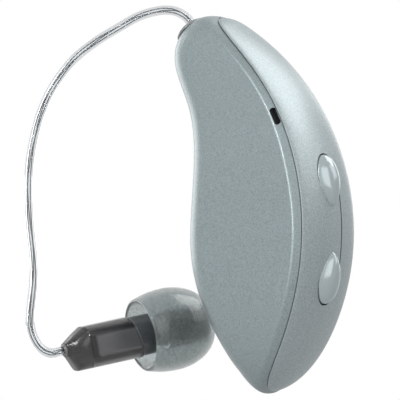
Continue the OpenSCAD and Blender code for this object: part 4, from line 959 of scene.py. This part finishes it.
def rib_lines(s):
    """For every rib its front point, its direction to the seam and its length, the depths of its front
    rounding and of its rim, and its half widths at the side and at the seam."""
    size = sizes()
    front, seam, half_seam, half_side = ribs(s)
    d = np.linalg.norm(seam - front, axis=1)[:, None]
    e = (seam - front) / np.maximum(d, TINY)
    nose = np.minimum(size.nose, NOSE_MOST_SHARE * d)
    rim = np.minimum((size.rim_high + (size.rim_low - size.rim_high) * s)[:, None], RIM_MOST_SHARE * d)
    return front, e, d, nose, rim, half_side[:, None], half_seam[:, None]


def nose_line(depth, half, count):
    """A quarter of a superellipse from the front: depth times 1-cos^p and half width times sin^p."""
    a = np.linspace(0, math.pi / 2, count)[None]
    p = 2 / NOSE_POWER
    return depth * (1 - np.cos(a) ** p), half * np.sin(a) ** p


def outer_half(s):
    """Half a rib outside, from the front to the seam, as distances along the rib and half widths: the
    rounded front, the straight side, and a parabola each at the ridge and at the lip in the seam."""
    front, e, d, nose, rim, h, hs = rib_lines(s)
    nose_q, nose_y = nose_line(nose, h, 26)
    flat = 1 - (1 - np.linspace(0, 1, 9)[None, 1:-1]) ** FLAT_POWER
    t = np.linspace(0, 1, 7)[None]
    slope = np.hstack([rim, hs - h])
    slope = slope / np.maximum(np.linalg.norm(slope, axis=1)[:, None], TINY)
    back, out = slope[:, 0:1], slope[:, 1:2]
    soft = np.minimum(sizes().ridge, RIDGE_MOST_SHARE * rim)
    lip = np.minimum(LIP, LIP_MOST_SHARE * rim)
    ridge = d - rim
    q = np.hstack([nose_q, nose + (ridge - soft - nose) * flat,
                   parabola(ridge - soft, ridge, ridge + soft * back, t), parabola(d - lip * back, d, d, t)])
    y = np.hstack([nose_y, h + 0 * flat, parabola(h, h, h + soft * out, t),
                   parabola(hs - lip * out, hs, hs - lip, t)])
    return front, e, q, y


def inner_half(s):
    """Half a rib inside, a wall within the outer one: its rounded front and its side, which close up on the
    seam towards both of the seam's ends."""
    front, e, d, nose, _, h, _ = rib_lines(s)
    wall = sizes().wall
    nose = nose - wall / 2
    width = np.maximum(h - wall, INNER_LEAST_SHARE * h)
    nose_q, nose_y = nose_line(nose, width, 12)
    q = np.hstack([wall + nose_q, d - (d - wall - nose) * np.array([[0.5, 0.0]])])
    return front, e, d - fade(s, *TUB_HOLLOW_SHARES) * (d - q), np.hstack([nose_y, width, width])


def housing_shape():
    """The tub: on every rib the outer half profile and its mirror, and back along the inner ones."""
    s = along(300)[1:-1]
    rings = []
    for half, order in ((outer_half, 1), (inner_half, -1)):
        front, e, q, y = half(s)
        q = np.hstack([q[:, :0:-1], q])
        y = np.hstack([-y[:, :0:-1], y])
        ring = np.stack([front[:, 0:1] + e[:, 0:1] * q, y, front[:, 1:2] + e[:, 1:2] * q], -1)
        rings.append(ring[:, ::order])
    return surface(np.concatenate(rings, 1), ends=seam_ends((0.0, 1.0), 0.0))


def slot_shape(side):
    """A rounded slot through the rim beside the seam, lying along the seam."""
    size = sizes()
    seam, half, out = seam_table()
    i = int(np.argmin(np.abs(seam[:, 1] - (SLOT_SHARE - REST_SHARE) * size.body_height)))
    ring = round_rectangle(size.slot_width, size.slot_length, size.slot_width * SLOT_ROUND_SHARE, 6)
    shape = prism(side * (half[i] - SLOT_IN), side * (half[i] + SLOT_OUT), ring)
    axes = [[0, 1, 0], [out[i, 0], 0, out[i, 1]], [-out[i, 1], 0, out[i, 0]]]
    origin = [seam[i, 0] - SLOT_IN_SHARE * size.rim_high - size.slot_width / 2, 0, seam[i, 1]]
    points, faces = moved(shape, axes, origin)
    return points, outward(points, faces)


def rod(axes, origin, low, high, radius, sides=48):
    """A round rod along the first of the axes."""
    profile = np.array([[low, 0], [low, radius], [high, radius], [high, 0.0]])
    return moved(turned_solid(profile, sides), axes, origin)


def inlet_rod(low, high):
    """The bore of the inlet, which points at the front microphone."""
    x, z = place(INLET_SHARES)
    mx, mz = place(FRONT_MIC_SHARES)
    way = np.array([x - mx, 0, z - mz])
    way /= np.linalg.norm(way)
    axes = [way.tolist(), [0, 1, 0], np.cross(way, [0, 1, 0]).tolist()]
    return rod(axes, [x, 0, z], low, high, sizes().inlet / 2, 32)


class AID_OT_housing(AidOperator, bpy.types.Operator):
    """Makes the housing tub with its slots and the recess of the collar"""

    bl_idname = "aid.housing"
    bl_label = "Housing tub"

    def execute(self, context):
        size, tones = sizes(), colours()
        paint = flake_paint("housing paint", tones.housing)
        tub = piece("housing_shell", housing_shape(), paint, BODY, "housing_tub")
        axes, origin = plug_frame()
        recess = rod(axes, origin, 0.0, RECESS_OUT, size.collar / 2 + size.collar_gap)
        bore = rod(axes, origin, -PLUG_IN, PLUG_OUT, PLUG_RADIUS)
        inlet = inlet_rod(-TUB_INLET_IN, TUB_INLET_OUT)
        # The cut faces take a near black finish: painted shade in the slots, the bores and the collar's
        # recess
        inside = moulded("inside of the cuts", tones.cuts, 0.7)
        cut(tub, [recess, bore, slot_shape(-1), slot_shape(1), inlet], inside)
        return {"FINISHED"}


def cover_shape():
    """The cover: on every rib the bulged outer skin, the land at the seam and the hollow underside."""
    size = sizes()
    walls_in, least, part = LAND_SHARES
    s = along(300)[1:-1]
    _, _, hs, h = ribs(s)
    hs, h = hs[:, None], h[:, None]
    c = s + SLIT_SHARE * np.maximum(1 - s / SLIT_REACH_SHARE, 0) ** 2
    v = np.sin(np.linspace(-math.pi / 2, math.pi / 2, 61))[None]
    outer = on_sheet(c, hs * v, size.seam + BULGE_SHARE * hs * bulge(v))
    land = np.maximum(h - walls_in * size.wall, least * hs)
    y = land * np.linspace(1, -1, 21)[None] * part
    rise = fade(s, *COVER_HOLLOW_SHARES) * (BULGE_SHARE * hs * bulge(y / hs) - size.cover_wall)
    low = np.full_like(land, size.seam)
    rows = [outer, on_sheet(c, land, low), on_sheet(c, y, size.seam + rise), on_sheet(c, -land, low)]
    return surface(np.concatenate(rows, 1), ends=seam_ends((SLIT_SHARE, 1.0), size.seam))


def gasket_shape():
    """The gasket: four lines round the seam, two at its outer edges and two at its inner ones."""
    size = sizes()
    s = along(240)
    clear = size.seam / 10
    near, far, top = clear * 2, clear * 2 + size.gasket, size.seam - clear
    lines = []
    for inset, off, low in ((near, clear, 0), (near, top, 0), (far, top, GASKET_END_SHARE),
                            (far, clear, GASKET_END_SHARE)):
        t = low + (1 - 2 * low) * s
        y = np.maximum(ribs(t)[2] - inset, 0.0)[:, None]
        left, right = (on_sheet(t, sign * y, np.full_like(y, off))[:, 0] for sign in (-1, 1))
        lines.append(np.vstack([left, right[::-1][1:-1]]))
    return surface(np.stack(lines, 1), loop=True)


def rocker_middle():
    """Height of the rocker's middle."""
    return (ROCKER_SHARE - REST_SHARE) * sizes().body_height


def rocker_half(w):
    """Half width of the rocker at w from its middle: an oval at each end, and a strip between."""
    size = sizes()
    end = size.rocker_length / 2 - size.bump_length / 2
    v = np.clip((np.abs(w) - end) / (size.bump_length / 2), -1, 1)
    oval = size.bump_width / 2 * np.sqrt(np.maximum(1 - v * v, 0))
    return np.where(np.abs(w) < end, np.maximum(size.strip_width / 2, oval), oval)


def bump_rise(y, w):
    """Height of the bumps: root of t times (1-t)^0.75 along each, a drop shape, and a parabola across it."""
    size = sizes()
    t = np.clip((size.rocker_length / 2 - np.abs(w)) / size.bump_length, 0, 1)
    d = 2.32 * np.sqrt(t) * (1 - t) ** 0.75
    half = np.maximum(size.bump_width / 2 * d, 1e-9)
    return size.bump_height * d ** 0.8 * np.maximum(1 - (y / half) ** 2, 0)


def rocker_window():
    """Prism round the rocker's outline, with full clearance at the tilting ends and half at the sides."""
    size = sizes()
    w = size.rocker_length / 2 * np.sin(np.linspace(-math.pi / 2, math.pi / 2, 121))
    half = rocker_half(w) + size.rocker_gap / 2
    z = rocker_middle() + w * (1 + 2 * size.rocker_gap / size.rocker_length)
    ring = np.concatenate([np.stack([half, z], 1), np.stack([-half, z], 1)[::-1]])
    return prism(WINDOW_NEAR, WINDOW_FAR, ring, rocker_middle())


class AID_OT_cover(AidOperator, bpy.types.Operator):
    """Makes the spine cover with the rocker's window, and the gasket in its seam"""

    bl_idname = "aid.cover"
    bl_label = "Spine cover and gasket"

    def execute(self, context):
        tones = colours()
        paint = flake_paint("cover paint", tones.cover, *COVER_PAINT)
        cover = piece("spine_shell", cover_shape(), paint, BODY, "spine_cover")
        # The window's walls take a darker grey: painted shade in the gap round the rocker
        inside = moulded("painted shade in the window", tones.window, 0.6)
        cut(cover, [rocker_window(), inlet_rod(-COVER_INLET, COVER_INLET)], inside)
        rubber = moulded("gasket rubber", tones.seal, 0.6)
        piece("seam_gasket", gasket_shape(), rubber, BODY, "cover_gasket")
        return {"FINISHED"}


def rocker_shape():
    """The rocker: the cover's surface over its outline, raised by the bumps and dropped at its soft edge,
    and an underside a wall below. The rise of the bumps at every point of the grid comes with it."""
    size = sizes()
    w = (size.rocker_length / 2 * np.sin(np.linspace(-math.pi / 2, math.pi / 2, 243)[1:-1]))[:, None]
    half, middle = rocker_half(w), rocker_middle()
    y = half * np.sin(np.linspace(-math.pi / 2, math.pi / 2, 49))[None]
    z = middle + w + 0 * y
    soft = EDGE_DROP * np.clip(1 - (half - np.abs(y)) / EDGE_WIDTH, 0, 1) ** 2
    rise = bump_rise(y, w)
    top = np.stack([spine_depth(y, z) + rise - soft, y, z], -1)
    y = half * np.linspace(0.98, -0.98, 9)[None]
    z = middle + w + 0 * y
    low = np.stack([spine_depth(y, z) - size.rocker_wall, y, z], -1)
    ends = middle + np.array([-size.rocker_length / 2, size.rocker_length / 2])
    tips = np.stack([spine_depth(0 * ends, ends) - size.rocker_wall / 2, 0 * ends, ends], 1)
    rise = np.concatenate([rise, np.zeros((len(w), 9))], 1)
    return surface(np.concatenate([top, low], 1), ends=tips), rise


def rocker_finish():
    """The cover's paint, whose colour and roughness blend to a polish with the bump attribute."""
    tones = colours()
    material = flake_paint("rocker finish", tones.cover, *COVER_PAINT)
    tree = material.node_tree
    shader = tree.nodes["Principled BSDF"]
    bump = add(tree, "ShaderNodeAttribute", attribute_name="bump")
    for socket, kind, polished in (("Roughness", "FLOAT", POLISH), ("Base Color", "RGBA", (*tones.gloss, 1))):
        painted = shader.inputs[socket].links[0].from_socket
        mix = add(tree, "ShaderNodeMix", data_type=kind)
        first, second = [made for made in mix.inputs if made.name in ("A", "B") and made.enabled]
        tree.links.new(bump.outputs["Fac"], mix.inputs[0])
        tree.links.new(painted, first)
        second.default_value = polished
        tree.links.new([made for made in mix.outputs if made.enabled][0], shader.inputs[socket])
    return material


class AID_OT_rocker(AidOperator, bpy.types.Operator):
    """Makes the rocker with its two polished bumps"""

    bl_idname = "aid.rocker"
    bl_label = "Rocker"

    def execute(self, context):
        shape, rise = rocker_shape()
        made = piece("rocker_cap", shape, rocker_finish(), "rocker_body", "rocker")
        polish = smooth_step(rise.ravel() / (POLISHED_SHARE * sizes().bump_height))
        level = made.data.attributes.new("bump", "FLOAT", "POINT")
        level.data.foreach_set("value", np.append(polish, [0, 0]).astype(np.float32))
        return {"FINISHED"}


def collar_shape():
    """The collar: a lens whose edge is a quarter of an ellipse, with a tapered boss round the lead."""
    size = sizes()
    r, edge, height = size.collar / 2, size.collar_edge, size.collar_height
    a = np.linspace(0, math.pi / 2, 16)
    curve = np.stack([edge + (height - edge) * np.sin(a), r * np.cos(a)], 1)
    lens = np.vstack([[0, 0], [0, r * 0.97], [0.00002, r], curve[:-1], [curve[-1, 0], 0]])
    top, wide = height + edge, size.lead / 2 + edge
    boss = np.array([[0.0001, 0], [0.0001, wide * 1.3], [top * 0.55, wide * 1.12], [top * 0.85, wide],
                     [top, wide * 0.9], [top, 0]])
    return joined([turned_solid(lens, 96), shifted(turned_solid(boss, 48), 0, size.lead_offset, 0)])


class AID_OT_collar(AidOperator, bpy.types.Operator):
    """Makes the collar of the plug, with the boss that holds the lead"""

    bl_idname = "aid.collar"
    bl_label = "Plug collar"

    def execute(self, context):
        smoke = clear_plastic("collar smoked plastic", colours().collar, 0.15, 0.4)
        shape = moved(collar_shape(), *plug_frame())
        piece("collar_lens", shape, smoke, LEAD, "plug_collar")
        return {"FINISHED"}


def grommet_shape():
    """The grommet: a rod round the lead with a blunt cone at its outer end."""
    size = sizes()
    g, end = size.grommet / 2, size.cap_length - 0.0003
    profile = np.array([[0, 0], [-0.0002, g * 0.6], [-0.00015, g * 0.9], [0, g], [end, g], [end, 0]])
    return shifted(turned_solid(profile, 40), 0, 0, size.lead_rise)


def cap_shape():
    """The end cap: rounded sections from the tip round the lead to the shell, hollowed for the grommet."""
    size = sizes()
    wide, high, corner, x = size.shell_width, size.shell_height, size.shell_edge, size.cap_length
    up = np.array([0, 1.0])
    stations = []
    for there, a, b, c in CAP_TIP_SHARES:
        ring = round_rectangle(size.cap_small * a, size.cap_small * b, size.cap_small * c)
        stations.append((there, ring + up * size.lead_rise))
    for there, a, b, c, drop in CAP_SHARES:
        ring = round_rectangle(wide * a, high * b, corner * c)
        stations.append((x * there, ring - up * (CAP_DROP_SHARE * high * drop)))
    stations.append((x - BEVEL, round_rectangle(wide * 0.998, high * 0.998, corner)))
    stations.append((x, round_rectangle(wide * 0.98, high * 0.98, corner * 0.98)))
    n = len(stations[0][1])
    q = np.linspace(0, 2 * math.pi, n, endpoint=False) + math.pi / n
    hole = size.grommet / 2 * np.stack([np.cos(q), np.sin(q)], 1) + up * size.lead_rise
    return surface(loft(stations + [(x, hole), (0.0, hole)]), loop=True)


def slanted(rings):
    """Moves the rings where shell and nozzle meet back towards the lead, more the higher they stand."""
    size = sizes()
    rings[2:5, :, 0] -= size.slant / 2 * (1 + rings[2:5, :, 2] / (size.shell_height / 2))
    return rings


def shell_shape():
    """The shell: a rounded section with bevelled ends, the far one slanted, and the hollow inside."""
    size = sizes()
    wide, high, corner, wall = size.shell_width, size.shell_height, size.shell_edge, size.shell_wall
    full = round_rectangle(wide, high, corner, 16)
    slim = round_rectangle(wide * 0.975, high * 0.975, corner * 0.97, 16)
    hollow = round_rectangle(wide - 2 * wall, high - 2 * wall, corner - wall, 16)
    x, far = size.cap_length, size.cap_length + size.shell_length
    stations = [(x, slim), (x + BEVEL, full), (far - BEVEL, full), (far, slim), (far, hollow), (x, hollow)]
    return surface(slanted(loft(stations)), loop=True)


def nozzle_shape():
    """The nozzle: a wide collar with a slanted foot, a slim part, and the bore with the guard's seat."""
    size = sizes()
    wide, tip, bore = size.nozzle / 2, size.nozzle_tip / 2, size.nozzle_bore / 2
    foot = size.cap_length + size.shell_length
    mid, end = foot + size.nozzle_wide, foot + size.nozzle_length
    seat = end - size.guard_length + size.guard_wall
    profile = np.array([[foot, bore], [foot, wide * 0.88], [foot - 0.00002, wide * 0.88],
                        [foot - 0.00002, wide * 0.97], [foot + BEVEL, wide], [mid - 0.0001, wide],
                        [mid, wide * 0.96], [mid, tip + 0.00005], [mid + 0.0001, tip], [end - 0.0001, tip],
                        [end, tip * 0.96], [end, size.guard_seat / 2], [seat, size.guard_seat / 2],
                        [seat, bore]])
    return surface(slanted(turned(profile, NOZZLE_SIDES)), loop=True)


def receiver_piece(name, shape, material, node, body=LEAD, sharp=0):
    """A piece given in the receiver's own axes, with its edges crisp past a sharp angle in degrees."""
    made = piece(name, moved(shape, *receiver_frame()), material, body, node)
    if sharp:
        made.data.set_sharp_from_angle(angle=math.radians(sharp))
    return made


class AID_OT_receiver(AidOperator, bpy.types.Operator):
    """Makes the grommet, the bevelled end cap, the smoked shell and the nozzle of the receiver"""

    bl_idname = "aid.receiver"
    bl_label = "Receiver"

    def execute(self, context):
        size, tones = sizes(), colours()
        rubber = moulded("grommet rubber", tones.grommet, 0.45)
        receiver_piece("lead_entry", grommet_shape(), rubber, "lead_grommet")
        # The end cap takes a much darker copy of the receiver's smoke: painted shade for the dark inside seen
        # through it
        deep = clear_plastic("end cap smoke with painted shade", shade(tones.smoke, 0.18), 0.2, 0.5, index=1.46,
                             grain=0.0002, clouds=0.3, depth=0.00001)
        receiver_piece("receiver_cap", cap_shape(), deep, "receiver_end_cap", sharp=16)
        smoke = clear_plastic("receiver smoked plastic", tones.smoke, 0.08, 0.92, index=1.46, grain=0.0002,
                              depth=0.000006)
        # The shell's smoke is painted lighter in front of the driver and darker elsewhere, as painted light
        # and shade
        start = size.cap_length + 2 * size.shell_wall
        painted_driver_light(smoke, start, start + DRIVER_LIGHT_LENGTH, DRIVER_HALF_SHARE * size.shell_height,
                    shade(tones.smoke, 0.5), shade(tones.smoke, 1.42))
        receiver_piece("receiver_case", shell_shape(), smoke, "receiver_shell", sharp=30)
        black = moulded("black plastic", shade(tones.black, 1.9), 0.3)
        nozzle = receiver_piece("sound_nozzle", nozzle_shape(), black, "receiver_nozzle",
                                sharp=35)
        nozzle.data.materials.append(moulded("nozzle grey plastic", tones.nozzle, 0.35))
        row = np.arange(len(nozzle.data.polygons)) // NOZZLE_SIDES
        grey = (row >= NOZZLE_GREY_ROWS[0]) & (row < NOZZLE_GREY_ROWS[1])
        nozzle.data.polygons.foreach_set("material_index", grey.astype(np.int32))
        return {"FINISHED"}


def dome_line(t, inset):
    """Outer or inner line of the dome: a flare from the rim, then a quarter of an ellipse to the tip."""
    size = sizes()
    r = size.dome / 2 - inset
    hole = size.dome_hole / 2 + size.dome_wall
    flare = size.dome_length * FLARE_SHARE
    f = t / FLARE_PART
    q = (t - FLARE_PART) / (1 - FLARE_PART) * math.pi / 2
    low = t < FLARE_PART
    x = np.where(low, flare * f, flare + (size.dome_length - flare - inset) * np.sin(q))
    y = np.where(low, r - size.dome / 2 * RIM_IN_SHARE * (1 - f) ** 2, hole + (r - hole) * np.cos(q))
    return np.stack([x, y], 1)


def dome_shape():
    """The dome: its outer line, the flange round the sound hole, the core on the nozzle, the inner line and
    the rounded rim, turned round the receiver's axis."""
    size = sizes()
    t = np.linspace(0, 1, 61)
    outer, inner = dome_line(t, 0.0), dome_line(t[::-1], size.dome_wall)
    core, hole = size.nozzle_tip / 2 + size.dome_fit, size.dome_hole / 2
    wall = core + size.dome_wall
    inner = inner[inner[:, 1] > wall]
    tip, low = size.dome_length, size.dome_length - size.dome_grip
    flange = tip - (size.guard_wall - 0.0001)
    lip = size.dome / 2 * (1 - RIM_IN_SHARE)
    rim = [[-bow, lip - size.dome_wall * part]
           for bow, part in ((0.00008, 0.75), (0.00012, 0.5), (0.00008, 0.25))]
    middle = [[tip, hole], [flange, hole], [flange, core], [low, core], [low, wall]]
    start = size.cap_length + size.shell_length + size.nozzle_length + size.guard_wall - size.dome_length
    return shifted(turned_solid(np.vstack([outer, middle, inner, rim]), 112), start, 0, 0)


class AID_OT_dome(AidOperator, bpy.types.Operator):
    """Makes the silicone dome on the nozzle"""

    bl_idname = "aid.dome"
    bl_label = "Dome"

    def execute(self, context):
        silicone = clear_plastic("dome silicone", colours().silicone, 0.12, 0.88, haze=0.05, index=1.33,
                                 grain=0.0002, clouds=0.3, depth=0.00002)
        receiver_piece("soft_dome", dome_shape(), silicone, "dome", "dome_body", 50)
        return {"FINISHED"}


class AID_OT_inner(AidOperator, bpy.types.Operator):
    """Gives the pieces inside the body and the receiver their finishes"""

    bl_idname = "aid.inner"
    bl_label = "Inner pieces"

    def execute(self, context):
        tones = colours()
        finish(brushed("brushed steel", tones.steel), "rocker_pin", "upper_snap_dome", "lower_snap_dome",
               "battery_can", "battery_lid", "front_microphone", "rear_microphone")
        finish(brushed("driver steel", tones.driver, 0.45, (1.0, 8.0, 1.0)), "receiver_driver")
        finish(brushed("solder", tones.solder, 0.2), "solder_joints")
        finish(brushed("plated contact", tones.gold, 0.22), "can_tab", "lid_tab", "socket_contacts",
               "plug_contacts")
        finish(moulded("black insulator", tones.black, 0.4), "upper_switch_base", "lower_switch_base",
               "battery_ring", "lead_socket", "lead_plug")
        finish(moulded("ivory plastic", tones.ivory, 0.45), "chassis", "rocker_lever")
        finish(circuit("circuit board", tones.board), "main_board", "driver_solder_board")
        finish(circuit("flexible film", tones.film), "switch_board", "antenna_strip")
        finish(moulded("chip resin", tones.chip, 0.35, 0.00005), "dsp_chip", "radio_chip", "charging_chip")
        finish(moulded("capacitor ceramic", tones.capacitor, 0.3), "capacitors")
        finish(moulded("ferrite", tones.ferrite, 0.55, 0.00008), "ferrite_sheet", "telecoil_core")
        finish(moulded("cell layers", tones.layers, 0.5), "battery_core")
        finish(wound("coil copper", tones.copper, 0.00012, "X"), "charging_coil")
        finish(wound("telecoil copper", tones.copper), "telecoil_winding")
        finish(foam("foam", tones.foam), "near_foam_pad", "far_foam_pad")
        finish(moulded("duct rubber", tones.duct, 0.6), "front_mic_gasket", "rear_mic_duct")
        finish(dotted_mesh("inlet mesh", tones.inlet_mesh), "near_slot_mesh", "far_slot_mesh",
               "front_inlet_mesh")
        finish(dotted_mesh("wax mesh", tones.wax_mesh), "wax_mesh")
        finish(moulded("guard white", tones.guard, 0.35), "wax_guard")
        return {"FINISHED"}


class AID_PT_panel(bpy.types.Panel):
    """Lists the pieces of the hearing aid in the sidebar"""

    bl_idname = "AID_PT_panel"
    bl_label = "Hearing aid"
    bl_space_type = "VIEW_3D"
    bl_region_type = "UI"
    bl_category = "Hearing aid"

    def draw(self, context):
        for made in OPERATORS:
            self.layout.operator(made.bl_idname)
        for group in (sizes(), colours()):
            for name in group.bl_rna.properties.keys():
                if name not in ("rna_type", "name"):
                    self.layout.prop(group, name)


OPERATORS = (AID_OT_stage, AID_OT_lead, AID_OT_housing, AID_OT_cover, AID_OT_rocker, AID_OT_collar,
             AID_OT_receiver, AID_OT_dome, AID_OT_inner)
CLASSES = (AidSizes, AidColours, *OPERATORS, AID_PT_panel)


def register():
    """Registers the classes and gives the scene its sizes and colours."""
    for made in CLASSES:
        bpy.utils.register_class(made)
    bpy.types.Scene.aid_sizes = PointerProperty(type=AidSizes)
    bpy.types.Scene.aid_colours = PointerProperty(type=AidColours)


def unregister():
    """Takes the properties and the classes away again."""
    del bpy.types.Scene.aid_sizes
    del bpy.types.Scene.aid_colours
    for made in reversed(CLASSES):
        bpy.utils.unregister_class(made)


def main():
    """Builds the stage and the pieces in their order."""
    register()
    bpy.ops.aid.stage()
    bpy.ops.aid.lead()
    bpy.ops.aid.housing()
    bpy.ops.aid.cover()
    bpy.ops.aid.rocker()
    bpy.ops.aid.collar()
    bpy.ops.aid.receiver()
    bpy.ops.aid.dome()
    bpy.ops.aid.inner()


if __name__ == "__main__":
    main()
